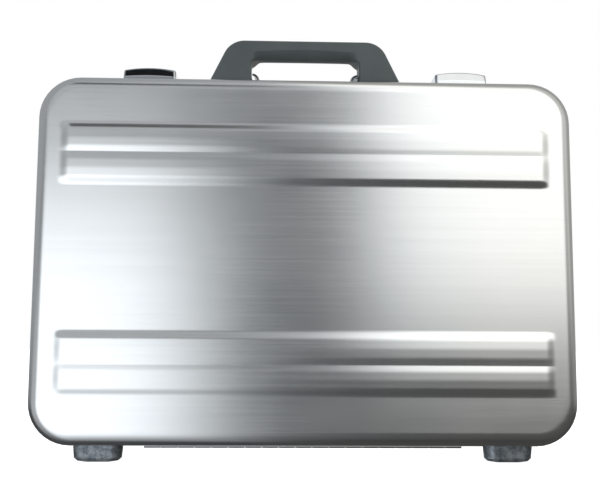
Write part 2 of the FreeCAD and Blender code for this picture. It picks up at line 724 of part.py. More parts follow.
def arched(half, top, crown, y0, y1, floor):
    """Block with a crowned top, highest in the middle of the lock."""
    left = Vector(LOCK_X - half, y0, top - crown)
    right = Vector(LOCK_X + half, y0, top - crown)
    peak = Vector(LOCK_X, y0, top)
    low_left = Vector(LOCK_X - half, y0, floor)
    low_right = Vector(LOCK_X + half, y0, floor)
    edges = [Part.Arc(left, peak, right).toShape(),
             Part.LineSegment(right, low_right).toShape(),
             Part.LineSegment(low_right, low_left).toShape(),
             Part.LineSegment(low_left, left).toShape()]
    return Part.Face(Part.Wire(edges)).extrude(Y_AXIS * (y1 - y0))


def hasp():
    """Domed sprung cover with two pin lugs, end cheeks, and the hook below its rear."""
    front = HASP_Y - HASP_FRONT
    rear = HASP_BACK
    top = CASE_TOP + HASP_TOP_RISE
    skirt = CASE_TOP + HASP_SKIRT_RISE

    def cover(inset, floor):
        half = HASP_HALF - inset
        profile = [(front + inset, floor, 0), (rear - inset, floor, 0),
                   (rear - inset, top - inset, HASP_REAR_R - inset),
                   (front + inset, top - inset, HASP_FRONT_R - inset)]
        side = side_prism(profile, LOCK_X - half, LOCK_X + half)
        return side.common(arched(half, top - inset, HASP_CROWN, front, rear, floor))

    body = cover(0, skirt).cut(cover(HASP_WALL, skirt - CUT_SPARE))
    inside = HASP_HALF - HASP_WALL
    body = body.cut(lock_box(-inside, inside, rear - 2 * HASP_WALL, rear + CUT_SPARE,
                             skirt - CUT_SPARE, CASE_TOP + HASP_REAR_RISE))
    ceiling = top - HASP_CROWN - HASP_WALL / 2
    pieces = [body]
    for u0, u1 in ((-HASP_LUG_TO, -HASP_LUG_FROM), (HASP_LUG_FROM, HASP_LUG_TO)):
        pieces.append(lock_rod(HASP_LUG_R, u0, u1, HASP_Y, HASP_Z))
        pieces.append(lock_box(u0, u1, HASP_Y - HASP_LUG_R, HASP_Y + HASP_LUG_R, HASP_Z,
                               ceiling))
    stem = PARTING + HOOK_STEM_SETBACK
    foot_low = CASE_TOP + HOOK_FOOT_RISE
    pieces.append(lock_box(-HOOK_HALF, HOOK_HALF, stem, stem + HOOK_STEM, foot_low,
                           top - HASP_WALL / 2))
    pieces.append(lock_box(-HOOK_HALF, HOOK_HALF, stem - HOOK_FOOT, stem, foot_low,
                           foot_low + HOOK_FOOT_WALL))
    bore = lock_rod(HASP_BORE_R, -HASP_LUG_TO - CUT_SPARE, HASP_LUG_TO + CUT_SPARE, HASP_Y,
                    HASP_Z)
    return union(pieces).cut(bore)


def hasp_bracket(holes):
    """Plate on the lid with a rear upstand that reaches forward to the pin."""
    plate_top = CASE_TOP + BRACKET_PLATE
    rear = LID_WALL_END - BRACKET_LIP_GAP
    plate = lock_box(-BRACKET_PLATE_HALF, BRACKET_PLATE_HALF, HASP_Y - BRACKET_PLATE_FRONT,
                     rear, CASE_TOP, plate_top)
    half = BRACKET_KNUCKLE_HALF
    upstand = lock_box(-half, half, rear - BRACKET_PLATE, rear, CASE_TOP,
                       HASP_Z + BRACKET_ARM / 2)
    arm = lock_box(-half, half, HASP_Y, rear, HASP_Z - BRACKET_ARM / 2,
                   HASP_Z + BRACKET_ARM / 2)
    knuckle = lock_rod(BRACKET_KNUCKLE_R, -half, half, HASP_Y, HASP_Z)
    body = union([plate, upstand, arm, knuckle])
    spring_room = lock_box(-BRACKET_SPRING_HALF, BRACKET_SPRING_HALF, HASP_Y - HASP_FRONT,
                           rear - BRACKET_PLATE, plate_top, HASP_Z + HASP_FRONT)
    bore = lock_rod(HASP_PIN_R, -half - CUT_SPARE, half + CUT_SPARE, HASP_Y, HASP_Z)
    return body.cut(spring_room).cut(bore).cut(group(holes))


def hasp_pin():
    """Pin through the bracket's knuckle and the cover's two lugs."""
    return lock_rod(HASP_PIN_R, -HASP_LUG_TO, HASP_LUG_TO, HASP_Y, HASP_Z)


def hasp_spring():
    """Torsion spring on the pin, its close coils as rings that touch."""
    span = 2 * (BRACKET_SPRING_HALF - SPRING_WIRE_R - SPRING_END_GAP)
    pitch = span / (SPRING_TURNS - 1)
    first = LOCK_X - span / 2
    rings = [Part.makeTorus(SPRING_COIL_R, SPRING_WIRE_R,
                            Vector(first + i * pitch, HASP_Y, HASP_Z), X_AXIS)
             for i in range(SPRING_TURNS)]
    return union(rings)


# ---- lock housing, slide and dials (right-hand lock) ----

def dial_places():
    """Middle of each dial, measured by u."""
    return [(i - (DIALS - 1) / 2) * DIAL_PITCH for i in range(DIALS)]


def lock_housing(holes):
    """Low nose under the hasp and a taller rear part with windows for the dials."""
    nose_front = PARTING + HOUSING_NOSE_FRONT
    step = HASP_BACK + HOUSING_STEP_GAP
    lip_end = BASE_WALL_END + HOUSING_LIP_GAP
    over_lip = LIP_TOP + HOUSING_LIP_GAP
    nose = lock_box(-HOUSING_NOSE_HALF, HOUSING_NOSE_HALF, nose_front, step, over_lip,
                    CASE_TOP + HOUSING_NOSE_RISE)
    under = lock_box(-HOUSING_NOSE_HALF, HOUSING_NOSE_HALF, lip_end, step, CASE_TOP, over_lip)
    tall = lock_box(-HASP_HALF, HASP_HALF, step, HOUSING_BACK, CASE_TOP, HOUSING_TOP)
    soft = [edge for edge in tall.Edges
            if edge.CenterOfMass.z > (2 * CASE_TOP + HOUSING_TOP) / 3
            and not (abs(edge.CenterOfMass.y - step) < 1e-4)]
    tall = tall.makeFillet(HOUSING_EDGE_R, soft)
    body = union([nose, under, tall])

    high = CASE_TOP + BOLT_RISE - BOLT_GAP
    ceiling = CASE_TOP + BOLT_RISE + BOLT_HEIGHT + BOLT_GAP
    bar = BOLT_BAR_Y
    arm_from = BOLT_ARM_FROM
    arm_to = BOLT_ARM_FROM + BOLT_ARM_WALL + SLIDE_TRAVEL
    tip = PARTING + BOLT_TIP_FRONT
    stem = PARTING + HOOK_STEM_SETBACK
    slot_half = HOOK_HALF + HOOK_SLOT_GAP
    rooms = [
        lock_box(arm_from - BOLT_GAP, HASP_HALF + CUT_SPARE, bar - BOLT_GAP / 2,
                 bar + BOLT_WALL + BOLT_GAP, high, ceiling),
        lock_box(arm_from - BOLT_GAP, arm_to + BOLT_GAP, tip - BOLT_GAP, bar, high, ceiling),
        lock_box(arm_from, BOLT_TIP_TO + SLIDE_TRAVEL + BOLT_GAP, tip - BOLT_GAP,
                 tip + BOLT_TIP_WALL + BOLT_GAP, high, ceiling),
        lock_box(-slot_half, slot_half, nose_front - CUT_SPARE,
                 stem + HOOK_STEM + HOOK_SLOT_BACK,
                 CASE_TOP + HOOK_FOOT_RISE - HOOK_SLOT_FLOOR,
                 HOUSING_TOP + CUT_SPARE)]
    for u in dial_places():
        half = DIAL_WIDTH / 2 + DIAL_GAP
        rooms.append(lock_rod(DIAL_R + DIAL_GAP, u - half, u + half, DIAL_Y, DIAL_Z))
    rooms.append(dial_spindle())
    for room in rooms:
        body = body.cut(room)
    return body.cut(group(holes))


def lock_slide():
    """Thumb button and its bolt: a bar behind the hook, an arm, and a tip over its foot."""
    low = CASE_TOP + BOLT_RISE
    high = low + BOLT_HEIGHT
    bar = BOLT_BAR_Y
    button_from = HASP_HALF + BUTTON_GAP
    button_to = button_from + BUTTON_LENGTH
    arm_to = BOLT_ARM_FROM + BOLT_ARM_WALL
    tip = PARTING + BOLT_TIP_FRONT
    front = PARTING + BUTTON_FRONT
    wedge = [(LOCK_X - button_from, CASE_TOP + BUTTON_FLOOR_RISE, 0),
             (LOCK_X - button_from, CASE_TOP + BUTTON_HIGH_RISE, BUTTON_EDGE_R),
             (LOCK_X - button_to, CASE_TOP + BUTTON_LOW_RISE, BUTTON_EDGE_R),
             (LOCK_X - button_to, CASE_TOP + BUTTON_FLOOR_RISE, 0)]
    pieces = [
        front_prism(wedge, front, front + BUTTON_WIDTH),
        lock_box(BOLT_ARM_FROM, button_from + CUT_SPARE, bar, bar + BOLT_WALL, low, high),
        lock_box(BOLT_ARM_FROM, arm_to, tip, bar + BOLT_WALL, low, high),
        lock_box(BOLT_ARM_FROM, BOLT_TIP_TO, tip, tip + BOLT_TIP_WALL, low, high)]
    return union(pieces)


def dial(u):
    """Number wheel with ten finger notches."""
    u0 = u - DIAL_WIDTH / 2
    u1 = u + DIAL_WIDTH / 2
    wheel = lock_rod(DIAL_R, u0, u1, DIAL_Y, DIAL_Z)
    cuts = [lock_rod(SPINDLE_BORE_R, u0 - CUT_SPARE, u1 + CUT_SPARE, DIAL_Y, DIAL_Z)]
    for i in range(DIAL_NOTCHES):
        turn = 2 * math.pi * (i + 0.5) / DIAL_NOTCHES
        cuts.append(lock_rod(DIAL_NOTCH_R, u0 - CUT_SPARE, u1 + CUT_SPARE,
                             DIAL_Y + DIAL_R * math.cos(turn),
                             DIAL_Z + DIAL_R * math.sin(turn)))
    return wheel.cut(group(cuts))


def dial_spindle():
    """Pin that carries the three dials, held in the housing."""
    return lock_rod(SPINDLE_R, -SPINDLE_LENGTH / 2, SPINDLE_LENGTH / 2, DIAL_Y, DIAL_Z)


# ---- lining and lid pocket ----

def lining(y_mouth, y_face, outward):
    """Padded tray that lines one shell from its flange to its face."""
    back = y_face - outward * (SHEET + LINING_SHELL_GAP)
    outer = case_bowl(SHEET + LINING_SHELL_GAP, y_mouth, back)
    inner = case_bowl(SHEET + LINING_SHELL_GAP + LINING_WALL, y_mouth - outward * CUT_SPARE,
                      back - outward * LINING_WALL)
    return outer.cut(inner)


def lid_pocket():
    """Flat padded document pocket on the lid's lining."""
    back = LID_FACE + SHEET + LINING_SHELL_GAP + LINING_WALL + POCKET_GAP
    low = CASE_BOTTOM + POCKET_FROM_FLOOR
    half = POCKET_WIDTH / 2
    pad = box(-half, half, back, back + POCKET_WALL, low, low + POCKET_HEIGHT)
    return pad.makeFillet(POCKET_CORNER_R, edges_along(pad, Y_AXIS))


# ---- every node, by name ----

def both_sides(name, right_shape):
    """A right-hand piece and its mirror image."""
    return {"left_" + name: mirrored(right_shape), "right_" + name: right_shape}


def build():
    """All nodes of the case."""
    lid_side = frame_rivets(LID_WALL_END - FRAME_RIVET_SETBACK)
    base_side = frame_rivets(BASE_WALL_END + FRAME_RIVET_SETBACK)
    lid_hinge = hinge_rivets(PARTING - HINGE_RIVET_LINE)
    base_hinge = hinge_rivets(PARTING + HINGE_RIVET_LINE)
    lid_foot_y = PARTING - FOOT_LID_SETBACK
    base_foot_y = PARTING + FOOT_BASE_SETBACK
    lid_foot_xs = (-FOOT_SPREAD / 2, FOOT_SPREAD / 2)
    base_foot_xs = (-BASE_FOOT_SPREAD / 2, BASE_FOOT_SPREAD / 2)
    lid_screws = [foot_screw(x, lid_foot_y, SHEET + FLANGE_WALL) for x in lid_foot_xs]
    base_screws = [foot_screw(x, base_foot_y, SHEET) for x in base_foot_xs]
    handle_rivets = post_rivets()
    hasp_rivets = bracket_rivets()
    housing_screws = lock_screws()
    base_pivot, lid_pivot, meeting = stay_points()
    lid_outer, lid_inner, base_outer, base_inner = stay_layers()
    base_stay = stay_pivot(base_pivot, base_outer, base_inner)
    lid_stay = stay_pivot(lid_pivot, lid_outer, lid_inner)

    lid_holes = lid_side + lid_hinge + lid_screws + hasp_rivets
    base_holes = base_side + base_hinge + base_screws + handle_rivets + housing_screws
    stay_holes = [lid_stay, mirrored(lid_stay)]
    base_stay_holes = [base_stay, mirrored(base_stay)]

    nodes = {
        "lid_shell": half_shell(LID_WALL_END, LID_FACE, -1).cut(group(lid_holes)),
        "base_shell": half_shell(BASE_WALL_END, BASE_FACE, 1).cut(group(base_holes)),
        "lid_frame": lid_frame(lid_holes + stay_holes),
        "base_frame": base_frame(base_holes + base_stay_holes),
        "frame_gasket": gasket(),
        "lid_frame_rivets": group(lid_side),
        "base_frame_rivets": group(base_side),
        "lid_hinge_leaf": hinge_leaf(-1, 1, lid_hinge),
        "base_hinge_leaf": hinge_leaf(1, 0, base_hinge),
        "hinge_pin": hinge_pin(),
        "lid_hinge_rivets": group(lid_hinge),
        "base_hinge_rivets": group(base_hinge),
        "lid_foot_screws": group(lid_screws),
        "base_foot_screws": group(base_screws),
        "lid_stay_pivots": group(stay_holes),
        "base_stay_pivots": group(base_stay_holes),
        "handle": handle(),
        "handle_post_rivets": group(handle_rivets),
        "hasp_bracket_rivets": group(hasp_rivets),
        "lock_screws": group(housing_screws),
        "lid_pocket": lid_pocket(),
    }
    right_foot = foot(lid_foot_xs[1], lid_foot_y, FOOT_LENGTH).cut(group(lid_screws))
    nodes.update(both_sides("lid_foot", right_foot))
    right_foot = foot(base_foot_xs[1], base_foot_y, BASE_FOOT_LENGTH)
    right_foot = right_foot.cut(group(base_screws))
    nodes.update(both_sides("base_foot", right_foot))
    nodes.update(both_sides("stay_lower_arm", stay_arm(base_pivot, meeting, base_inner,
                                                       base_outer)))
    nodes.update(both_sides("stay_upper_arm", stay_arm(lid_pivot, meeting, lid_inner,
                                                       lid_outer)))
    nodes.update(both_sides("stay_pin", stay_mid_pin()))
    nodes.update(both_sides("handle_post", handle_post(handle_rivets)))
    nodes.update(both_sides("handle_pin", handle_pin()))
    plate = backplate(handle_rivets)
    nodes["handle_backplates"] = group([plate, mirrored(plate)])
    nodes.update(both_sides("hasp", hasp()))
    nodes.update(both_sides("hasp_bracket", hasp_bracket(hasp_rivets)))
    nodes.update(both_sides("hasp_pin", hasp_pin()))
    nodes.update(both_sides("hasp_spring", hasp_spring()))
    nodes.update(both_sides("lock_housing", lock_housing(housing_screws)))
    nodes.update(both_sides("lock_slide", lock_slide()))
    for number, u in enumerate(dial_places(), 1):
        nodes.update(both_sides("dial_%d" % number, dial(u)))
    nodes.update(both_sides("dial_spindle", dial_spindle()))

    lid_liner = lining(LID_FLANGE_END - LINING_FLANGE_GAP, LID_FACE, -1)
    base_liner = lining(BASE_FLANGE_END + LINING_FLANGE_GAP, BASE_FACE, 1)
    room = [post(FOOT_SCREW_HEAD_R + LINING_SCREW_GAP, x, base_foot_y, CASE_BOTTOM,
                 CASE_BOTTOM + SHEET + FOOT_SCREW_HEAD + LINING_SCREW_GAP) for x in base_foot_xs]
    nodes["lid_lining"] = lid_liner
    nodes["base_lining"] = base_liner.cut(group(room))
    return nodes


def main():
    """Write one STEP file for each node."""
    os.makedirs("parts", exist_ok=True)
    for name, shape in build().items():
        shape.exportStep("parts/%s.step" % name)
        print("%-22s %8.0f mm3 %2d solids %s" % (name, shape.Volume, len(shape.Solids),
                                                 "ok" if shape.isValid() else "INVALID"))


main()
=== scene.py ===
import json
import math

import bmesh
import bpy
import numpy as np
from mathutils import Matrix, Vector


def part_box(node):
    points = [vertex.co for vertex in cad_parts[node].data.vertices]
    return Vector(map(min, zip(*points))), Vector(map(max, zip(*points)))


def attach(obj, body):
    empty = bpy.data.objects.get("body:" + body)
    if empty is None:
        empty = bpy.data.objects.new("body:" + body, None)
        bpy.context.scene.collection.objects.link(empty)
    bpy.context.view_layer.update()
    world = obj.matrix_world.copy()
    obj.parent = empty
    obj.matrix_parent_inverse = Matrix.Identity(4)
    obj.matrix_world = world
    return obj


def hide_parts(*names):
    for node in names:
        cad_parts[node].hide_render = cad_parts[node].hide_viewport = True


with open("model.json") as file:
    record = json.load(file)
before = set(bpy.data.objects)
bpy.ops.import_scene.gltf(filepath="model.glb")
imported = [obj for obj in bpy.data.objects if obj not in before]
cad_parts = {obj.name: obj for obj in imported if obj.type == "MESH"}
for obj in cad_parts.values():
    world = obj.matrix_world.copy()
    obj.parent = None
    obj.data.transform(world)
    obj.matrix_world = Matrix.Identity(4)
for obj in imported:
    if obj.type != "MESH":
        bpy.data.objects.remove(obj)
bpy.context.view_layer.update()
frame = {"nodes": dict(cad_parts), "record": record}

# Lengths are millimetres; a piece is turned into metres when its mesh is made.
METRES = 0.001
CORNER_R = 35.0          # the case's corners, seen from the front
FACE_EDGE_R = 12.0       # where a face turns into its side walls
SHEET = 1.3              # shell wall
RIB_RISE = 2.0
RIB_VALLEY = 87.1        # valley between two ribs, from the middle of the face
RIB_PROFILE = ((-26.6, 0.0), (-21.4, 1.78), (-13.5, 2.0), (-5.8, 1.93), (0.0, 1.5),
               (4.7, 1.93), (12.0, 2.0), (19.6, 1.76), (24.4, 0.0))  # across a pair, and rise
RIB_ROUND = 1.3          # how far a rib's bends are rounded
RIB_HALF = 206.0
RIB_TAPER = 11.0         # length over which a rib's end fades into the face
LINING_GAP = 1.5         # from the outside of the case to the lining's back
LINING_WALL = 3.0
QUILT_PITCH = 42.0
QUILT_DEPTH = 1.7        # how far the lining's seams sink below its pads
BORDER_SEAM = 9.0        # stitched line, in from the edge of the lining's flat
BORDER_SEAM_WIDTH = 1.6
BORDER_BLEND = 4.0       # from the stitched line to the full height of the pads
POCKET_CLOTH = 0.7
POCKET_CORNER_R = 14.0
POCKET_HEM = 7.0
POCKET_FULLNESS = 1.5    # how far its middle stands out
GATHER_PITCH = 8.7
FOLD_PITCH = 61.0
HEM_HALF_WALL = 0.85
BINDING_HALF_WIDTH = 2.2
BINDING_HALF_WALL = 0.65
WALL_SEAM_DEPTH = 0.9    # of the upright seams in a lining's walls
SCREW_ROOM = 1.7         # how far the base lining rises over a foot's screw head
SCREW_ROOM_R = 9.5
SCREW_ROOM_SLOPE = 4.0
DIGIT_HALF_WIDTH = 0.62
DIGIT_HALF_HEIGHT = 1.05
DIGIT_SIDE = 0.52        # middle of an upright stroke, from the middle one
DIGIT_SIDE_HALF = 0.53
STROKE_HALF_WIDTH = 0.16
STROKE_RISE = 0.05       # how far a numeral stands out of its wheel
NOTCH_DEPTH = 0.45
WHEEL_EDGE_R = 0.5
BORE_GAP = 0.1           # round the wheels' spindle
SPRING_WIRE_R = 0.2
SPRING_TURNS = 15
# Strokes of the numerals 0 to 9. Round from the top a to f are the six outer ones, and g is the
# middle one.
DIGIT_STROKES = ("abcdef", "bc", "abged", "abgcd", "fgbc", "afgcd", "afgedc", "abc", "abcdefg",
                 "abcdfg")
HANDLE_EDGE_R = 1.7
HASP_WALL = 1.2
HASP_END_R = 1.5
LOCK_X = 136.0


def span(node):
    """Lowest and highest corners of a CAD node, in millimetres."""
    low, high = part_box(node)
    return np.array(low) / METRES, np.array(high) / METRES


def smoothstep(t):
    """0 before t = 0, 1 after t = 1, and 3 t^2 - 2 t^3 between."""
    t = np.clip(t, 0, 1)
    return t * t * (3 - 2 * t)


def quarter_turn(count):
    """Even angles from 0 to a quarter turn."""
    return np.linspace(0, math.pi / 2, count)


# ---- meshes ----

def grid_quads(rows, columns, start, wrap):
    """Quads between a grid's neighbours; wrap joins the last column to the first."""
    row = np.arange(rows - 1)[:, None]
    column = np.arange(columns if wrap else columns - 1)[None, :]
    after = (column + 1) % columns
    quads = np.stack([row * columns + column, row * columns + after,
                      (row + 1) * columns + after, (row + 1) * columns + column], -1)
    return quads.reshape(-1, 4) + start


def place_object(name, data):
    """A new object in the scene."""
    made = bpy.data.objects.new(name, data)
    bpy.context.scene.collection.objects.link(made)
    return made


def capped(rows):
    """Closed grid from sections: rows, with each end drawn together at its middle."""
    ends = [np.broadcast_to(row.mean(0), row.shape) for row in (rows[0], rows[-1])]
    return np.stack([ends[0], *rows, ends[1]]), True


def skin(name, grids, body, slot, stands_for=(), finish=None, sharp=35, weld=0.004):
    """One closed piece from grids (points, wrap): welded where they meet, with normals outwards.

    Its finish is its slot's, unless another is named.
    """
    points = []
    quads = []
    start = 0
    for grid, wrap in grids:
        rows, columns = grid.shape[:2]
        points.append(grid.reshape(-1, 3))
        quads.append(grid_quads(rows, columns, start, wrap))
        start += rows * columns
    points = np.concatenate(points) * METRES
    quads = np.concatenate(quads)
    mesh = bpy.data.meshes.new(name)
    mesh.vertices.add(len(points))
    mesh.vertices.foreach_set("co", points.astype(np.float32).ravel())
    mesh.loops.add(quads.size)
    mesh.loops.foreach_set("vertex_index", quads.astype(np.int32).ravel())
    mesh.polygons.add(len(quads))
    mesh.polygons.foreach_set("loop_start", np.arange(0, quads.size, 4, dtype=np.int32))
    mesh.update(calc_edges=True)
    made = bmesh.new()
    made.from_mesh(mesh)
    bmesh.ops.remove_doubles(made, verts=made.verts, dist=weld * METRES)
    bmesh.ops.dissolve_degenerate(made, edges=made.edges, dist=weld * METRES / 10)
    bmesh.ops.recalc_face_normals(made, faces=made.faces)
    made.to_mesh(mesh)
    made.free()
    mesh.shade_smooth()
    mesh.set_sharp_from_angle(angle=math.radians(sharp))
    mesh.materials.append(FINISHES[finish or FINISH_OF_SLOT[slot]])
    piece = place_object(name, mesh)
    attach(piece, body)
    if stands_for:
        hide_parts(*stands_for)
    return piece


def mirror_x(grids):
    """The same grids on the other side of the case."""
    return [(grid * np.array([-1.0, 1.0, 1.0]), wrap) for grid, wrap in grids]


def rounded_loop(half_a, half_b, radius, steps=6, support=0.3):
    """Closed rounded rectangle in (a, b): four quarter circles and a support point beside each."""
    turn = quarter_turn(steps + 1)
    points = []
    for quarter, (sign_a, sign_b) in enumerate(((1, 1), (-1, 1), (-1, -1), (1, -1))):
        angle = turn + quarter * math.pi / 2
        arc = np.stack([sign_a * (half_a - radius) + radius * np.cos(angle),
                        sign_b * (half_b - radius) + radius * np.sin(angle)], -1)
        along = np.array([-math.sin(angle[0]), math.cos(angle[0])])
        before = arc[0] - along * support
        along = np.array([-math.sin(angle[-1]), math.cos(angle[-1])])
        points.append(np.vstack([before, arc, arc[-1] + along * support]))
    return np.concatenate(points)


def rounded_block(low, high, radius, steps=4):
    """Block with all its edges rounded: loops round its height, drawn in at its two ends."""
    low = np.array(low, float)
    high = np.array(high, float)
    middle = (low + high) / 2
    half = (high - low) / 2
    radius = min(radius, *(half * 0.98))
    turn = quarter_turn(steps + 1)
    levels = [(-half[2] + radius * (1 - math.sin(t)), radius * (1 - math.cos(t)))
              for t in turn[::-1]]
    levels += [(-z, inset) for z, inset in levels[::-1]]
    rows = []
    for z, inset in levels:
        loop = rounded_loop(half[0] - inset, half[1] - inset, max(radius - inset, 0.02),
                            support=min(0.3, radius / 2))
        rows.append(np.column_stack([loop, np.full(len(loop), z)]))
    end_low = rows[0] * np.array([0, 0, 1])
    end_high = rows[-1] * np.array([0, 0, 1])
    return [(np.stack([end_low] + rows + [end_high]) + middle, True)]


# ---- case shells and linings, which share one face grid ----

CASE_LOW, CASE_HIGH = span("lid_shell")
HALF_WIDTH = CASE_HIGH[0]
HALF_HEIGHT = (CASE_HIGH[2] - CASE_LOW[2]) / 2
MIDDLE_Z = (CASE_HIGH[2] + CASE_LOW[2]) / 2


def face_rows(quilted):
    """Rows of the face grid: height from the middle, half width, and outward edge direction.

    The outline is the case's, moved in by the face edge's radius. Corner rows step by angle. The
    others are close together where the ribs turn, or even for a quilted lining.
    """
    radius = CORNER_R - FACE_EDGE_R
    straight = HALF_HEIGHT - CORNER_R
    turn = np.linspace(math.pi / 2, 0, 11)
    corner = straight + radius * np.sin(turn)
    if quilted:
        middle = np.linspace(straight, -straight, 100)[1:-1]
    else:
        feet = RIB_PROFILE[0][0] - 2, RIB_PROFILE[-1][0] + 2
        upper = np.concatenate([np.linspace(feet[0], -6, 30), np.linspace(-6, 0, 12)[1:],
                                np.linspace(0, 6, 12)[1:], np.linspace(6, feet[1], 27)[1:]])
        upper = (RIB_VALLEY + upper)[::-1]
        panel = np.linspace(upper[-1], -upper[-1], 16)[1:-1]
        middle = np.concatenate([upper, panel, -upper[::-1]])
    height = np.concatenate([corner, middle, -corner[::-1]])
    bend = np.concatenate([turn, np.zeros(len(middle)), -turn[::-1]])
    half = HALF_WIDTH - CORNER_R + radius * np.cos(bend)
    return height, half, np.cos(bend), np.sin(bend)


def face_columns(quilted):
    """Shares of the half width, close together where a rib's end fades, or even."""
    ends = np.linspace(RIB_HALF - RIB_TAPER - 1, RIB_HALF + 1, 13) / (HALF_WIDTH - FACE_EDGE_R)
    side = np.concatenate([np.linspace(0, ends[0], 22)[:-1], ends, [0.985, 1.0]])
    if quilted:
        side = np.linspace(0, 1, 84)
    return np.concatenate([-side[::-1][:-1], side])


def face_grid(detail, quilted):
    """Grid over the flat of a face: detail(x, height) is added outwards from the flat."""
    height, half, _, _ = face_rows(quilted)
    x = face_columns(quilted)[None, :] * half[:, None]
    w = np.broadcast_to(height[:, None], x.shape)
    return x, w, detail(x, w)


def face_edge_loop(quilted):
    """The face grid's boundary as points and outward directions, once round."""
    height, half, out_x, out_z = face_rows(quilted)
    share = face_columns(quilted)
    top = np.column_stack([share * half[0], np.full(len(share), height[0]),
                           np.zeros(len(share)), np.ones(len(share))])
    right = np.column_stack([half, height, out_x, out_z])[1:]
    bottom = (top * np.array([1, -1, 1, -1]))[::-1][1:]
    left = (np.column_stack([-half, height, -out_x, out_z]))[::-1][1:-1]
    return np.concatenate([top, right, bottom, left])


def bowl(face_y, mouth_y, outset, wall, lip, details, quilted):
    """Closed tray: outer face, rounded edge, wall, mouth, and the same again one wall inside.

    The rounded edge is a quarter circle about the face grid's boundary, of radius outset outside
    and outset less wall inside, and lip is the radius of the mouth's two edges. face_y is the
    outer face, mouth_y the open side, and details are for the outer and the inner face. Inside a
    quilted tray, the walls swell between upright seams one pitch apart.
    """
    inward = 1.0 if mouth_y > face_y else -1.0
    loop = face_edge_loop(quilted)
    length = np.cumsum(np.hypot(*(loop[:, :2] - np.roll(loop[:, :2], 1, 0)).T))
    seams = np.sqrt(np.abs(np.sin(math.pi * length * round(length[-1] / QUILT_PITCH) / length[-1])))
    centre_y = face_y + inward * outset
    turn = quarter_turn(11)[1:]
    side_y = np.linspace(centre_y, mouth_y - inward * lip, 11 if quilted else 3)[1:]
    quarter = quarter_turn(5 if quilted else 2)[1:]
    rows = [(outset * math.sin(t), centre_y - inward * outset * math.cos(t)) for t in turn]
    rows += [(outset, y) for y in side_y]
    rows += [(outset - lip * (1 - math.cos(t)), mouth_y - inward * lip * (1 - math.sin(t)))
             for t in quarter]
    inside = outset - wall
    rows += [(inside + lip * (1 - math.cos(t)), mouth_y - inward * lip * (1 - math.sin(t)))
             for t in quarter[::-1]]
    for y in side_y[::-1]:
        swell = math.sin(math.pi * abs(y - centre_y) / abs(side_y[-1] - centre_y))
        sunk = WALL_SEAM_DEPTH * (1 - seams) * swell if quilted else 0
        rows.append((inside + sunk, y))
    rows += [(inside * math.sin(t), centre_y - inward * inside * math.cos(t)) for t in turn[::-1]]
    rows = [(0, face_y)] + rows + [(0, face_y + inward * wall)]
    grid = np.stack([np.column_stack([loop[:, 0] + out * loop[:, 2], np.full(len(loop), y),
                                      MIDDLE_Z + loop[:, 1] + out * loop[:, 3]])
                     for out, y in rows])
    grids = [(grid, True)]
    for level, detail in zip((face_y, face_y + inward * wall), details):
        x, w, rise = face_grid(detail, quilted)
        grids.append((np.stack([x, level - inward * rise, MIDDLE_Z + w], -1), False))
    return grids


def rib_rise(x, w):
    """Height of the pressed ribs at x and at height w from the middle.

    Across a pair the profile's points are joined by straight lines, and the result is averaged
    over a short width, which shrinks to nothing at the valley so that it stays sharp. The ends
    fade over a smooth taper.
    """
    across = np.abs(w) - RIB_VALLEY
    width = RIB_ROUND * np.minimum(np.abs(across) / 3, 1)
    places, rises = np.array(RIB_PROFILE).T
    rise = np.mean([np.interp(across + step * width, places, rises)
                    for step in np.linspace(-1, 1, 9)], 0)
    return rise * smoothstep((RIB_HALF - np.abs(x)) / RIB_TAPER)


def quilting(x, w):
    """Diamond pads between two sets of slanted seams, inside a border with its own seam.

    A pad's height is the square root of the product of two sines, one for each set of seams.
    """
    pad = np.sqrt(np.abs(np.sin(math.pi * (x + w) / QUILT_PITCH)
                         * np.sin(math.pi * (x - w) / QUILT_PITCH)))
    inset = np.minimum(HALF_WIDTH - FACE_EDGE_R - np.abs(x), HALF_HEIGHT - FACE_EDGE_R - np.abs(w))
    within = smoothstep((inset - BORDER_SEAM) / BORDER_BLEND)
    seam = np.exp(-((inset - BORDER_SEAM) / BORDER_SEAM_WIDTH) ** 2)
    return QUILT_DEPTH * np.maximum((1 - pad) * within, 0.8 * seam)


def flat(x, w):
    """No detail."""
    return np.zeros_like(x)


def padded_lining(name, node, face_y, mouth_y, body, bumps=()):
    """Quilted tray of lining cloth; it rises over bumps, the (x, y) of screw heads."""
    grids = bowl(face_y, mouth_y, FACE_EDGE_R - LINING_GAP, LINING_WALL, 1.3,
                 (flat, quilting), True)
    for grid, _ in grids:
        for x, y in bumps:
            near = np.hypot(grid[..., 0] - x, grid[..., 1] - y)
            lift = SCREW_ROOM * smoothstep((SCREW_ROOM_R - near) / SCREW_ROOM_SLOPE)
            grid[..., 2] += lift * (grid[..., 2] < CASE_LOW[2] + 8)
    piece = skin(name, grids, body, "lining", [node], sharp=80)
    return piece


def case_skin(name, node, face_y, mouth_y, body):
    """Drawn shell with pressed ribs inside and out."""
    grids = bowl(face_y, mouth_y, FACE_EDGE_R, SHEET, 0.25, (rib_rise, rib_rise), False)
    return skin(name, grids, body, "shell", [node], sharp=50)


# ---- finishes ----

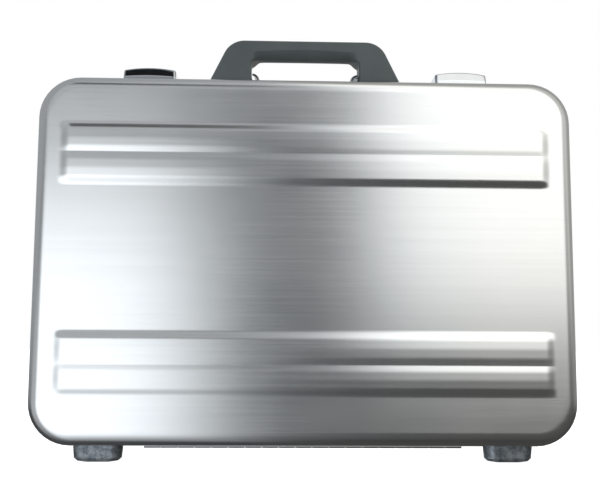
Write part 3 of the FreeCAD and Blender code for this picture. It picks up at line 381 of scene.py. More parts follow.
class Shade:
    """A node's output in a material; arithmetic on it adds Math nodes beside it."""

    def __init__(self, tree, socket=None):
        self.tree = tree
        self.socket = socket

    def node(self, kind, inputs=None, output=0, **settings):
        """Adds a node of a kind: settings first, then socket values or links; gives an output."""
        made = self.tree.nodes.new(kind)
        for key, value in settings.items():
            setattr(made, key, value)
        for key, value in (inputs or {}).items():
            if isinstance(value, Shade):
                self.tree.links.new(value.socket, made.inputs[key])
            else:
                made.inputs[key].default_value = value
        return Shade(self.tree, made.outputs[output] if made.outputs else None)

    def maths(self, operation, first, second=None):
        """A Math node's output from one or two values."""
        inputs = {0: first} if second is None else {0: first, 1: second}
        return self.node("ShaderNodeMath", inputs, operation=operation)

    def __add__(self, other):
        return self.maths("ADD", self, other)

    def __radd__(self, other):
        return self.maths("ADD", other, self)

    def __sub__(self, other):
        return self.maths("SUBTRACT", self, other)

    def __rsub__(self, other):
        return self.maths("SUBTRACT", other, self)

    def __mul__(self, other):
        return self.maths("MULTIPLY", self, other)

    def __rmul__(self, other):
        return self.maths("MULTIPLY", other, self)

    def __truediv__(self, other):
        return self.maths("DIVIDE", self, other)

    def __rtruediv__(self, other):
        return self.maths("DIVIDE", other, self)

    def call(self, operation):
        """A Math function of this value, such as SINE or ABSOLUTE."""
        return self.maths(operation, self)

    def ease(self, low, high):
        """0 below low, 1 above high, and a smooth step between."""
        return self.node("ShaderNodeMapRange", {"Value": self, "From Min": low, "From Max": high},
                         interpolation_type="SMOOTHSTEP")

    def noise(self, scale, stretch=(1, 1, 1), detail=3.0, roughness=0.5):
        """Noise on the piece's own coordinates, in metres, finer along the larger stretches."""
        place = self.node("ShaderNodeTexCoord", output=3)
        place = self.node("ShaderNodeMapping", {"Vector": place, "Scale": stretch})
        return self.node("ShaderNodeTexNoise", {"Vector": place, "Scale": scale, "Detail": detail,
                                                "Roughness": roughness})

    def parts(self):
        """The x, y and z of this vector."""
        return [self.node("ShaderNodeSeparateXYZ", {0: self}, i) for i in range(3)]

    def blend(self, low, high):
        """A colour between two colours, by this value."""
        return self.node("ShaderNodeMix", {0: self, 6: low, 7: high}, 2, data_type="RGBA")

    def bump(self, height, distance):
        """A normal that follows a height, which is distance metres where it is 1."""
        return self.node("ShaderNodeBump", {"Height": height, "Distance": distance})


def finish_of(name, surface):
    """A material whose Principled sockets are what surface(shade) gives."""
    made = bpy.data.materials.new(name)
    made.use_nodes = True
    tree = made.node_tree
    tree.nodes.clear()
    shade = Shade(tree)
    shader = shade.node("ShaderNodeBsdfPrincipled", surface(shade))
    shade.node("ShaderNodeOutputMaterial", {"Surface": shader})
    return made


def rgb(red, green, blue):
    """A colour as a node takes it."""
    return (red, green, blue, 1.0)


def brushed_aluminium(shade):
    """Clear anodised sheet: long fine level grain, broader lines and soft cloudiness."""
    grain = shade.noise(1.0, (9, 9, 1500), 4, 0.6)
    lines = shade.noise(1.0, (3, 3, 420), 2)
    cloud = shade.noise(11.0, roughness=0.55)
    rough = 0.145 + 0.05 * grain + 0.04 * lines + 0.04 * cloud
    tone = (cloud * 0.6 + grain * 0.4).ease(0.3, 0.7)
    height = grain * 0.7 + lines * 0.3
    return {"Base Color": tone.blend(rgb(0.80, 0.815, 0.82), rgb(0.87, 0.875, 0.875)),
            "Metallic": 1.0, "Roughness": rough, "Anisotropic": 0.35,
            "Anisotropic Rotation": 0.25, "Normal": shade.bump(height, 0.000004)}


def extruded_aluminium(shade):
    """Rim section: satin, with die lines along the case's outline."""
    lines = shade.noise(1.0, (6, 1300, 6), 3, 0.6)
    cloud = shade.noise(30.0)
    return {"Base Color": cloud.blend(rgb(0.70, 0.715, 0.73), rgb(0.80, 0.805, 0.81)),
            "Metallic": 1.0, "Roughness": 0.26 + 0.14 * lines,
            "Normal": shade.bump(lines, 0.00001)}


def bright_chrome(shade):
    """Polished plating: almost a mirror, with faint smears and fine hairlines."""
    smear = shade.noise(120.0, detail=4)
    hair = shade.noise(900.0, (1, 6, 6), 2)
    return {"Base Color": smear.blend(rgb(0.60, 0.62, 0.65), rgb(0.70, 0.72, 0.74)),
            "Metallic": 1.0, "Roughness": 0.05 + 0.10 * smear * hair,
            "Normal": shade.bump(smear, 0.00001)}


def plated_steel(shade):
    """Nickel-plated steel of the small hardware."""
    cloud = shade.noise(260.0, detail=4)
    return {"Base Color": cloud.blend(rgb(0.50, 0.50, 0.49), rgb(0.66, 0.655, 0.64)),
            "Metallic": 1.0, "Roughness": 0.20 + 0.16 * cloud,
            "Normal": shade.bump(cloud, 0.00002)}


def mottled_foot(shade):
    """Cast and plated foot: hammered patches of lighter and darker grey, with fine specks."""
    patch = shade.noise(230.0, (1, 1, 1), 4, 0.6)
    speck = shade.noise(1500.0, detail=2)
    tone = (patch * 0.75 + speck * 0.25).ease(0.36, 0.64)
    return {"Base Color": tone.blend(rgb(0.15, 0.175, 0.20), rgb(0.40, 0.43, 0.46)),
            "Metallic": 0.7, "Roughness": 0.34 + 0.2 * patch,
            "Normal": shade.bump(patch, 0.00006)}


def handle_plastic(shade):
    """Grey moulded plastic with a fine even grain, a little glossier where hands polish it."""
    pebble = shade.noise(2600.0, detail=2)
    wear = shade.noise(28.0)
    tone = (wear * 0.7 + pebble * 0.3).ease(0.25, 0.75)
    return {"Base Color": tone.blend(rgb(0.094, 0.113, 0.116), rgb(0.120, 0.140, 0.143)),
            "Roughness": 0.36 + 0.14 * wear,
            "Normal": shade.bump(pebble, 0.00003)}


def black_rubber(shade):
    """Sealing cord: matt, slightly dusty."""
    dust = shade.noise(300.0, detail=4)
    return {"Base Color": dust.blend(rgb(0.012, 0.012, 0.013), rgb(0.035, 0.035, 0.036)),
            "Roughness": 0.6 + 0.25 * dust, "Normal": shade.bump(dust, 0.00005)}


def weave(shade, pitch, dark, light, sheen=0.25, thread=None):
    """Plain weave: threads over and under at a pitch in metres, from two crossed sine waves. Its
    colour has painted shade in the hollows between threads.

    thread marks where stitches lie on the cloth.
    """
    x, y, z = shade.node("ShaderNodeTexCoord", output=3).parts()
    step = math.pi / pitch
    warp = ((x + y) * step).call("SINE")
    weft = (z * step).call("SINE")
    height = (warp * weft).call("ABSOLUTE")
    fibre = shade.noise(2500.0, detail=2)
    slub = shade.noise(45.0, (1, 1, 6))
    # Painted shade: the colour darkens where the weave's height is low, in the hollows between
    # threads, on top of random fibre and slub tone.
    tone = height * 0.45 + fibre * 0.3 + slub * 0.25
    colour = tone.blend(dark, light)
    relief = height * 0.8 + fibre * 0.2
    if thread:
        colour = thread.blend(colour, rgb(0.20, 0.205, 0.215))
        relief = relief + thread * 2
    return {"Base Color": colour, "Roughness": 0.78 + 0.14 * fibre, "Sheen Weight": sheen,
            "Normal": shade.bump(relief, 0.00022)}


def lining_cloth(shade):
    """Charcoal lining cloth, with dashes of thread along the quilting's seams on the faces."""
    x, y, z = shade.node("ShaderNodeTexCoord", output=3).parts()
    z = z - MIDDLE_Z * METRES
    pitch = QUILT_PITCH * METRES
    first = (x + z) * (math.pi / pitch)
    second = (x - z) * (math.pi / pitch)
    marks = []
    for line, along in ((first, second), (second, first)):
        on_line = 1 - line.call("SINE").call("ABSOLUTE").ease(0.03, 0.055)
        marks.append(on_line * (along * 10).call("SINE").ease(-0.3, 0.1))
    half_x = (HALF_WIDTH - FACE_EDGE_R - BORDER_SEAM) * METRES
    half_z = (HALF_HEIGHT - FACE_EDGE_R - BORDER_SEAM) * METRES
    inset = shade.maths("MINIMUM", half_x - x.call("ABSOLUTE"), half_z - z.call("ABSOLUTE"))
    border = 1 - inset.call("ABSOLUTE").ease(0.0003, 0.0005)
    border = border * (first * 10).call("SINE").ease(-0.3, 0.1)
    seams = shade.maths("MAXIMUM", *marks) * inset.ease(0.001, 0.002)
    thread = shade.maths("MAXIMUM", seams, border) * y.call("ABSOLUTE").ease(0.0440, 0.0444)
    return weave(shade, 0.0011, rgb(0.018, 0.019, 0.022), rgb(0.060, 0.063, 0.070), thread=thread)


def pocket_cloth(shade):
    """Pocket cloth, a shade lighter and a finer weave than the lining."""
    return weave(shade, 0.0008, rgb(0.040, 0.042, 0.048), rgb(0.11, 0.115, 0.125), 0.35)


def numeral_paint(shade):
    """Black filling of the dials' numerals."""
    chip = shade.noise(2000.0, detail=2)
    return {"Base Color": chip.blend(rgb(0.008, 0.008, 0.008), rgb(0.03, 0.03, 0.03)),
            "Roughness": 0.4 + 0.2 * chip}


def brass_dial(shade):
    """Nickelled brass of the number wheels."""
    cloud = shade.noise(400.0)
    return {"Base Color": cloud.blend(rgb(0.62, 0.60, 0.55), rgb(0.78, 0.76, 0.70)),
            "Metallic": 1.0, "Roughness": 0.2 + 0.14 * cloud,
            "Normal": shade.bump(cloud, 0.00001)}


FINISHES = {
    "shell": finish_of("brushed_anodised_aluminium", brushed_aluminium),
    "frame": finish_of("extruded_rim_aluminium", extruded_aluminium),
    "gasket": finish_of("sealing_rubber", black_rubber),
    "steel": finish_of("plated_steel", plated_steel),
    "feet": finish_of("mottled_foot_plating", mottled_foot),
    "handle": finish_of("moulded_handle_grey", handle_plastic),
    "chrome": finish_of("bright_chrome", bright_chrome),
    "dials": finish_of("nickelled_dial_brass", brass_dial),
    "numerals": finish_of("numeral_black", numeral_paint),
    "lining": finish_of("lining_cloth_charcoal", lining_cloth),
    "pocket": finish_of("pocket_cloth_grey", pocket_cloth)}
FINISH_OF_SLOT = {
    "shell": "shell", "frame": "frame", "gasket": "gasket", "rivets": "steel", "hinge": "frame",
    "screws": "steel", "feet": "feet", "stays": "steel", "handle": "handle", "posts": "chrome",
    "pins": "steel", "springs": "steel", "hasps": "chrome", "brackets": "steel",
    "housings": "chrome", "slides": "chrome", "dials": "dials", "lining": "lining",
    "pocket": "pocket"}


def dress_frame():
    """Gives every CAD node the finish of its record slot."""
    for part in frame["record"]["subparts"]:
        piece = frame["nodes"][part["node"]]
        finish = FINISHES[FINISH_OF_SLOT[part["material_slot"]]]
        if not piece.material_slots:
            piece.data.materials.append(finish)
        for place in piece.material_slots:
            place.material = finish


# ---- handle ----

HANDLE_LOW, HANDLE_HIGH = span("handle")
POST_LOW, POST_HIGH = span("right_handle_post")
LUG_WIDTH = 6.6          # a post's lug, out from its flat side
LUG_R = 7.0
LUG_FROM_END = 1.0       # from the post's end to the lug
POST_PLATE = 1.5
HANDLE_MIDDLE_Y = (HANDLE_LOW[1] + HANDLE_HIGH[1]) / 2
HANDLE_HALF_DEPTH = (HANDLE_HIGH[1] - HANDLE_LOW[1]) / 2
HANDLE_GRIP = 16.3       # grip, top to underside
HANDLE_GRIP_ROUND = 8.0
HANDLE_GRIP_CREASE = 0.5  # radians by which the grip's underside turns at once from its side
HANDLE_INNER = 48.5      # inner side of a leg, from the middle
HANDLE_CHAMFER_X = 6.5
HANDLE_CHAMFER_Z = 3.0
HANDLE_TOP_HALF = 67.15  # where the slanted side would meet the top line
HANDLE_SLANT = 0.487
HANDLE_CORNER_R = 20.0


def handle_stations():
    """Matched inner and outer (x, z) points of half the handle, from a leg's foot to the middle.

    A leg's sections are level and run from its upright inner side to its slanted outer side. At
    the corner the inner point crosses the chamfer while the outer one goes round the corner's
    arc, and along the grip both move level to the middle.
    """
    top = HANDLE_HIGH[2]
    foot = HANDLE_LOW[2]
    under = top - HANDLE_GRIP
    chamfer_low = under - HANDLE_CHAMFER_Z
    lean = math.hypot(1, HANDLE_SLANT)
    half_turn = math.atan2(HANDLE_SLANT, 1)
    run = HANDLE_CORNER_R * math.tan((math.pi / 2 - half_turn) / 2)
    centre = np.array([HANDLE_TOP_HALF - run, top - HANDLE_CORNER_R])
    turn = np.linspace(half_turn, math.pi / 2, 15)
    arc = centre + HANDLE_CORNER_R * np.stack([np.cos(turn), np.sin(turn)], -1)
    round_end = HANDLE_HALF_DEPTH * (1 - np.cos(quarter_turn(11)))
    leg_z = np.concatenate([foot + round_end, np.linspace(foot + HANDLE_HALF_DEPTH, chamfer_low - 2,
                                                          5)[1:]])
    outer = [np.stack([HANDLE_TOP_HALF + HANDLE_SLANT * (top - leg_z), leg_z], -1), arc]
    inner = [np.stack([np.full(len(leg_z), HANDLE_INNER), leg_z], -1)]
    share = np.linspace(0, 1, len(arc))
    bend = np.array([[HANDLE_INNER, chamfer_low - 2], [HANDLE_INNER, chamfer_low],
                     [HANDLE_INNER - HANDLE_CHAMFER_X, under],
                     [HANDLE_INNER - HANDLE_CHAMFER_X - 2, under]])
    length = np.concatenate([[0], np.cumsum(np.hypot(*np.diff(bend, axis=0).T))])
    along = share * length[-1]
    soft = np.linspace(-1.2, 1.2, 9)
    blend = [np.stack([np.interp(np.clip(along + s, 0, length[-1]), length, bend[:, i])
                       for i in (0, 1)], -1) for s in soft]
    inner.append(np.mean(blend, 0))
    grip = np.linspace(1, 0, 12)[1:]
    outer.append(np.stack([grip * arc[-1, 0], np.full(len(grip), top)], -1))
    inner.append(np.stack([grip * bend[-1, 0], np.full(len(grip), under)], -1))
    return np.concatenate(inner), np.concatenate(outer)


def handle_skin():
    """Handle swept between its inner and outer outlines.

    Each section is a rectangle with small rounded corners. Towards the grip its inner corners
    widen into a half ellipse that starts with a crease, and below the pivot its depth shrinks as
    a circle's chord.
    """
    inner, outer = handle_stations()
    inner = np.vstack([inner, inner[::-1][1:] * [-1, 1]])
    outer = np.vstack([outer, outer[::-1][1:] * [-1, 1]])
    turn = quarter_turn(9)
    pivot = HANDLE_LOW[2] + HANDLE_HALF_DEPTH
    rows = []
    for near, far in zip(inner, outer):
        length = math.hypot(*(far - near))
        across = (far - near) / length
        drop = max(pivot - near[1], 0)
        depth = max(math.sqrt(max(HANDLE_HALF_DEPTH ** 2 - drop ** 2, 0)), 0.15)
        edge = min(HANDLE_EDGE_R, depth * 0.9)
        grip = smoothstep((HANDLE_INNER - 0.5 - abs(near[0])) / (HANDLE_CHAMFER_X + 3))
        under_p = edge + (HANDLE_GRIP_ROUND - edge) * grip
        under_y = edge + (depth - 0.01 - edge) * grip
        support = min(0.5, depth * 0.05)
        loop = []
        for quarter, (p0, y0, r_p, r_y) in enumerate((
                (length - edge, depth - edge, edge, edge),
                (under_p, depth - under_y, under_p, under_y),
                (under_p, -(depth - under_y), under_p, under_y),
                (length - edge, -(depth - edge), edge, edge))):
            angle = turn + quarter * math.pi / 2
            arc = np.stack([p0 + r_p * np.cos(angle), y0 + r_y * np.sin(angle)], -1)
            if quarter in (1, 2):
                start = math.pi / 2 + HANDLE_GRIP_CREASE * grip
                fan = np.linspace(start, math.pi, len(turn))
                side_y = y0 + r_y * np.sin(fan) / math.sin(start) * (1 if quarter == 1 else -1)
                reach = (math.cos(start) - np.cos(fan)) / (math.cos(start) + 1)
                arc = np.stack([p0 - r_p * reach, side_y], -1)[::1 if quarter == 1 else -1]
            first = arc[0] + support * np.array([math.sin(angle[0]), -math.cos(angle[0])])
            last = arc[-1] + support * np.array([-math.sin(angle[-1]), math.cos(angle[-1])])
            if quarter == 1:
                last = arc[-1]
            if quarter == 2:
                first = arc[0]
            loop += [first, *arc, last]
        loop = np.array(loop)
        rows.append(np.column_stack([near[0] + across[0] * loop[:, 0],
                                     HANDLE_MIDDLE_Y + loop[:, 1],
                                     near[1] + across[1] * loop[:, 0]]))
    return skin("handle_grip", [capped(rows)], "handle_body", "handle", ["handle"], sharp=20)


def handle_post(side):
    """Post of the handle: a plate, and on it a lug whose outline is half an ellipse, closed above
    by a quarter of an ellipsoid centred on the pivot; side is 1 for the right-hand one."""
    flat_x = POST_LOW[0] + LUG_FROM_END + LUG_WIDTH
    pivot_y = (POST_LOW[1] + POST_HIGH[1]) / 2
    pivot_z = POST_HIGH[2] - LUG_R
    turn = np.linspace(-math.pi / 2, math.pi / 2, 25)
    loop = np.stack([-LUG_WIDTH * np.cos(turn), LUG_R * np.sin(turn)], -1)
    loop = np.vstack([loop, [0.0, LUG_R * 0.5], [0.0, 0.0], [0.0, -LUG_R * 0.5]])
    levels = [(1.0, z) for z in np.linspace(POST_LOW[2] + POST_PLATE / 2, pivot_z, 6)[:-1]]
    levels += [(math.cos(t), pivot_z + LUG_R * math.sin(t))
               for t in np.linspace(0, math.pi / 2 - 0.03, 14)]
    rows = [np.column_stack([flat_x + loop[:, 0] * share, pivot_y + loop[:, 1] * share,
                             np.full(len(loop), z)]) for share, z in levels]
    grids = [capped(rows)]
    grids += rounded_block(POST_LOW, (POST_HIGH[0], POST_HIGH[1], POST_LOW[2] + POST_PLATE), 0.5, 3)
    if side < 0:
        grids = mirror_x(grids)
    name = ("right" if side > 0 else "left") + "_handle_post"
    return skin(name + "_lug", grids, "base", "posts", [name], sharp=50)


# ---- latch covers ----

HASP_LOW, HASP_HIGH = span("right_hasp")
PIN_LOW, PIN_HIGH = span("right_hasp_pin")
HASP_HALF = (HASP_HIGH[0] - HASP_LOW[0]) / 2
HASP_AXIS = (PIN_LOW + PIN_HIGH) / 2
HASP_CROWN = 2.2
HASP_SKIRT = 3.9         # upright part of the front
HASP_BEND_R = 4.0        # from there into the leaning part
HASP_LEAN = 0.30         # radians from upright
HASP_EDGE_R = 1.9        # from the leaning part into the top
HASP_REAR_R = 3.0
HASP_REAR_LIFT = 8.1     # rear wall's lower edge, above the skirt
HASP_LUG = (12.4, 16.0)  # a pin lug, from the cover's middle
HASP_LUG_R = 2.4
HOOK_HALF = 1.5
HOOK_STEM = 2.0
HOOK_FOOT = 5.0
HOOK_FOOT_WALL = 2.0
SHELL_SETBACK = 7.0      # base shell's edge, behind the parting plane
PARTING_Y = span("base_shell")[0][1] - SHELL_SETBACK
HOOK_BACK = 11.0         # back of the hook's stem, behind the parting plane


def cover_profile(rear_low):
    """Cover's side profile from the front skirt over the top to the rear, with its outward
    directions: an upright skirt, a leaning front, the top, and an upright rear, joined by arcs."""
    front, rear = HASP_LOW[1], HASP_HIGH[1]
    low, top = HASP_LOW[2], HASP_HIGH[2]
    turn = quarter_turn(9)
    bend_turn = np.linspace(0, HASP_LEAN, 5)
    front_arc = [(front + HASP_BEND_R * (1 - math.cos(t)), low + HASP_SKIRT
                  + HASP_BEND_R * math.sin(t), -math.cos(t), math.sin(t)) for t in bend_turn]
    lean_y, lean_z = front_arc[-1][:2]
    end_z = top - HASP_EDGE_R * (1 - math.sin(HASP_LEAN))
    for share in (0.33, 0.67):
        front_arc.append((lean_y + share * (end_z - lean_z) * math.tan(HASP_LEAN),
                          lean_z + share * (end_z - lean_z), *front_arc[4][2:]))
    centre = lean_y + (end_z - lean_z) * math.tan(HASP_LEAN) + HASP_EDGE_R * math.cos(HASP_LEAN)
    front_arc += [(centre - HASP_EDGE_R * math.cos(t), top - HASP_EDGE_R * (1 - math.sin(t)),
                   -math.cos(t), math.sin(t)) for t in np.linspace(HASP_LEAN, math.pi / 2, 8)]
    rear_arc = [(rear - HASP_REAR_R * (1 - math.cos(t)), top - HASP_REAR_R * (1 - math.sin(t)),
                 math.cos(t), math.sin(t)) for t in turn[::-1]]
    walls = [(front, z, -1, 0) for z in np.linspace(low, low + HASP_SKIRT, 4)[:-1]]
    crown = [(y, top, 0, 1) for y in np.linspace(front_arc[-1][0], rear_arc[0][0], 7)[1:-1]]
    back = [(rear, z, 1, 0) for z in np.linspace(top - HASP_REAR_R, rear_low, 4)[1:]]
    return np.array(walls + front_arc + crown + rear_arc + back)


def cover_shell(inset):
    """Grid of the cover at an inset: sections along its length, each drawn in towards the ends
    along a quarter circle, then a fan of rows down each end to the skirt's middle."""
    low, top = HASP_LOW[2], HASP_HIGH[2]
    half = HASP_HALF - inset
    radius = HASP_END_R - inset * 0.6
    turn = quarter_turn(9)
    side_u = half - radius + radius * np.sin(turn)
    side_in = radius * (1 - np.cos(turn))
    middle_u = np.linspace(0, half - radius, 12)[:-1]
    u = np.concatenate([middle_u, side_u])
    draw_in = np.concatenate([np.zeros(len(middle_u)), side_in])
    rows = []
    for place, into in zip(u, draw_in):
        rear_low = low if place > half - radius * 0.55 else low + HASP_REAR_LIFT
        line = cover_profile(rear_low)
        fall = HASP_CROWN * (place / HASP_HALF) ** 2
        share = (line[:, 1] - low) / (top - low)
        y = line[:, 0] - (inset + into) * line[:, 2]
        z = line[:, 1] - (inset + into) * line[:, 3] - fall * share
        rows.append(np.stack([np.full(len(y), place), y, z], -1))
    last = rows[-1]
    centre = np.array([half, (last[0, 1] + last[-1, 1]) / 2, low])
    for share in (0.3, 0.6, 0.85, 1.0):
        rows.append(last + (centre - last) * share)
    rows = np.stack(rows)
    mirrored = rows[::-1] * np.array([-1, 1, 1])
    return np.concatenate([mirrored[:-1], rows])


def latch_cover(side, body):
    """Domed cover with its wall, two pin lugs and the hook; side is 1 for the right-hand one."""
    outer = cover_shell(0)
    inner = cover_shell(HASP_WALL)
    grids = [(outer, False), (inner, False)]
    for column in (0, -1):
        grids.append((np.stack([outer[:, column], inner[:, column]], 1), False))
    axis_y, axis_z = HASP_AXIS[1], HASP_AXIS[2]
    ceiling = HASP_HIGH[2] - HASP_CROWN / 2 - HASP_WALL / 2
    turn = np.linspace(math.pi, 2 * math.pi, 13)
    lug = np.stack([axis_y + HASP_LUG_R * np.cos(turn), axis_z + HASP_LUG_R * np.sin(turn)], -1)
    lug = np.vstack([[axis_y - 0.2, ceiling], lug, [axis_y + HASP_LUG_R, ceiling]])
    for sign in (-1, 1):
        grids.append(capped([np.column_stack([np.full(len(lug), sign * u), lug])
                             for u in HASP_LUG]))
    hook_back = PARTING_Y + HOOK_BACK
    hook_low = HASP_LOW[2] - 0.3
    grids += rounded_block((-HOOK_HALF, hook_back - HOOK_STEM, hook_low),
                           (HOOK_HALF, hook_back, HASP_HIGH[2] - HASP_WALL / 2), 0.4, 2)
    grids += rounded_block((-HOOK_HALF, hook_back - HOOK_STEM - HOOK_FOOT, hook_low),
                           (HOOK_HALF, hook_back - 0.2, hook_low + HOOK_FOOT_WALL), 0.4, 2)
    shift = np.array([LOCK_X, 0, 0])
    grids = [(grid + shift, wrap) for grid, wrap in grids]
    if side < 0:
        grids = mirror_x(grids)
    name = "right" if side > 0 else "left"
    return skin(name + "_latch_cover", grids, body, "hasps", [name + "_hasp"], sharp=40)


# ---- pocket, dials and springs ----

def pocket_front(x, z):
    """Depth of the pocket's front: a full middle, gathers that grow towards the top, and long
    soft folds, all fading at the stitched edges."""
    low, high = span("lid_pocket")
    edge = np.minimum(high[0] - np.abs(x), z - low[2])
    up = (z - low[2]) / (high[2] - low[2])
    full = POCKET_FULLNESS * smoothstep(edge / 45)
    gathers = 0.5 * np.sin(2 * math.pi * x / GATHER_PITCH + 0.9 * np.sin(x / 29.0))
    gathers = gathers * smoothstep((up - 0.45) / 0.5)
    folds = 0.35 * np.sin(2 * math.pi * x / FOLD_PITCH + 1.3) * up
    return low[1] + POCKET_CLOTH + full + (gathers + folds) * smoothstep(edge / 14)


def pocket():
    """Gathered cloth pocket with an elastic hem along its top and a binding round the rest."""
    low, high = span("lid_pocket")
    half = high[0]
    z = np.concatenate([low[2] + POCKET_CORNER_R * (1 - np.cos(np.linspace(0.05, math.pi / 2, 9))),
                        np.linspace(low[2] + POCKET_CORNER_R, high[2] - 1.5, 60)[1:]])
    drop = np.maximum(low[2] + POCKET_CORNER_R - z, 0)
    width = half - POCKET_CORNER_R + np.sqrt(POCKET_CORNER_R ** 2 - drop ** 2)
    x = np.linspace(-1, 1, 401)[None, :] * width[:, None]
    z = np.broadcast_to(z[:, None], x.shape)
    front = np.stack([x, pocket_front(x, z), z], -1)
    back = front - np.array([0, POCKET_CLOTH, 0])
    grids = [(front, False), (back, False)]
    for edge in (np.s_[0], np.s_[-1], np.s_[:, 0], np.s_[:, -1]):
        grids.append((np.stack([front[edge], back[edge]], 1), False))
    cloth = skin("pocket_cloth", grids, "lid", "pocket", ["lid_pocket"], sharp=80)

    x = np.linspace(-half + 1, half - 1, 401)
    middle_z = high[2] - POCKET_HEM / 2
    middle_y = pocket_front(x, np.full(len(x), middle_z)) - POCKET_CLOTH / 2
    loop = rounded_loop(HEM_HALF_WALL, POCKET_HEM / 2, HEM_HALF_WALL - 0.05, 4, 0.05)
    rows = [np.column_stack([np.full(len(loop), a), b + loop[:, 0], middle_z + loop[:, 1]])
            for a, b in zip(x, middle_y)]
    hem = skin("pocket_hem", [capped(rows)], "lid", "pocket", sharp=80)

    inner = half - POCKET_CORNER_R
    turn = quarter_turn(13)
    corner = np.stack([inner + POCKET_CORNER_R * np.cos(turn),
                       low[2] + POCKET_CORNER_R * (1 - np.sin(turn)),
                       np.cos(turn), -np.sin(turn)], -1)
    side_z = np.linspace(high[2] - 1, low[2] + POCKET_CORNER_R, 20)[:-1]
    side = np.column_stack([np.full(len(side_z), half), side_z, np.ones(len(side_z)),
                            np.zeros(len(side_z))])
    path = np.concatenate([side, corner])
    bottom_x = np.linspace(inner, -inner, 40)[1:-1]
    bottom = np.column_stack([bottom_x, np.full(len(bottom_x), low[2]), np.zeros(len(bottom_x)),
                              -np.ones(len(bottom_x))])
    path = np.concatenate([path, bottom, path[::-1] * np.array([-1, 1, -1, 1])])
    loop = rounded_loop(BINDING_HALF_WALL, BINDING_HALF_WIDTH, BINDING_HALF_WALL - 0.05, 4, 0.05)
    inset = loop[:, 1] - BINDING_HALF_WIDTH
    depth = low[1] + BINDING_HALF_WALL + 0.1 + loop[:, 0]
    rows = [np.column_stack([a + inset * out_x, depth, b + inset * out_z])
            for a, b, out_x, out_z in path]
    binding = skin("pocket_binding", [capped(rows)], "lid", "pocket", finish="lining", sharp=80)


def number_wheel(node, spindle, body):
    """Number wheel with rounded rims and ten notches, and its numerals as raised strokes.

    Its radius is constant but for ten dips, each a smooth step down and up over a few degrees.
    """
    low, high = span(node)
    middle = (low + high) / 2
    radius = (high[2] - low[2]) / 2
    half = (high[0] - low[0]) / 2
    bore = (span(spindle)[1][2] - span(spindle)[0][2]) / 2 + BORE_GAP
    angle = np.linspace(0, 2 * math.pi, 161)[:-1]
    from_notch = np.abs((angle / (math.pi / 5)) % 1 - 0.5)
    dip = NOTCH_DEPTH * smoothstep(1 - from_notch / 0.14)
    turn = quarter_turn(5)
    profile = [(radius - WHEEL_EDGE_R * (1 - math.cos(t)), half - WHEEL_EDGE_R * (1 - math.sin(t)))
               for t in turn]
    profile = [(r, -a) for r, a in profile[::-1]] + profile + [(bore, half), (bore, -half)]
    profile.append(profile[0])
    rows = []
    for r, a in profile:
        reach = r - (dip if r > radius - WHEEL_EDGE_R - 0.1 else 0)
        rows.append(np.stack([np.full(len(angle), middle[0] + a), middle[1] + reach * np.sin(angle),
                              middle[2] + reach * np.cos(angle)], -1))
    skin(node + "_wheel", [(np.stack(rows), True)], body, "dials", [node], sharp=40)
    wide, tall, side = DIGIT_HALF_WIDTH, DIGIT_HALF_HEIGHT, DIGIT_SIDE
    corner = {"a": (0, tall, wide, 0), "d": (0, -tall, wide, 0), "g": (0, 0, wide, 0)}
    for stroke, a, b in (("b", wide, side), ("c", wide, -side), ("e", -wide, -side),
                         ("f", -wide, side)):
        corner[stroke] = (a, b, 0, DIGIT_SIDE_HALF)
    grids = []
    for number, strokes in enumerate(DIGIT_STROKES):
        for stroke in strokes:
            a, b, reach_a, reach_b = corner[stroke]
            reach_a += STROKE_HALF_WIDTH
            reach_b += STROKE_HALF_WIDTH
            block = rounded_block((a - reach_a, b - reach_b, radius - 0.08),
                                  (a + reach_a, b + reach_b, radius + STROKE_RISE), 0.03, 1)
            for grid, wrap in block:
                turned_by = grid[..., 1] / radius - number * math.pi / 5
                grids.append((np.stack([middle[0] + grid[..., 0],
                                        middle[1] + grid[..., 2] * np.sin(turned_by),
                                        middle[2] + grid[..., 2] * np.cos(turned_by)], -1), wrap))
    skin(node + "_numerals", grids, body, "dials", finish="numerals")


def hasp_coil(node, body):
    """Torsion spring round a hasp pin: a round wire swept along a helix."""
    low, high = span(node)
    middle = (low + high) / 2
    reach = (high[2] - low[2]) / 2 - SPRING_WIRE_R
    half = (high[0] - low[0]) / 2 - SPRING_WIRE_R
    angle = np.linspace(0, 2 * math.pi * SPRING_TURNS, SPRING_TURNS * 20 + 1)
    line = np.stack([middle[0] - half + 2 * half * angle / angle[-1],
                     middle[1] + reach * np.sin(angle), middle[2] + reach * np.cos(angle)], -1)
    along = np.gradient(line, axis=0)
    along /= np.linalg.norm(along, axis=1)[:, None]
    out = np.stack([np.zeros(len(angle)), np.sin(angle), np.cos(angle)], -1)
    beside = np.cross(along, out)
    turn = np.linspace(0, 2 * math.pi, 9)[:-1]
    ring = (np.cos(turn)[None, :, None] * out[:, None]
            + np.sin(turn)[None, :, None] * beside[:, None])
    rows = line[:, None] + SPRING_WIRE_R * ring
    ends = [np.broadcast_to(line[i], rows[0].shape)[None] for i in (0, -1)]
    skin(node + "_coil", [(np.concatenate([ends[0], rows, ends[1]]), True)], body, "springs",
         [node], weld=0.001)


# ---- studio ----

CAMERA_AT = (-0.0267, -0.7400, 0.0969)
CAMERA_YAW = 1.78        # degrees to the right of straight on
CAMERA_PITCH = 6.34
CAMERA_ROLL = 0.33
CAMERA_LENS = 50.69


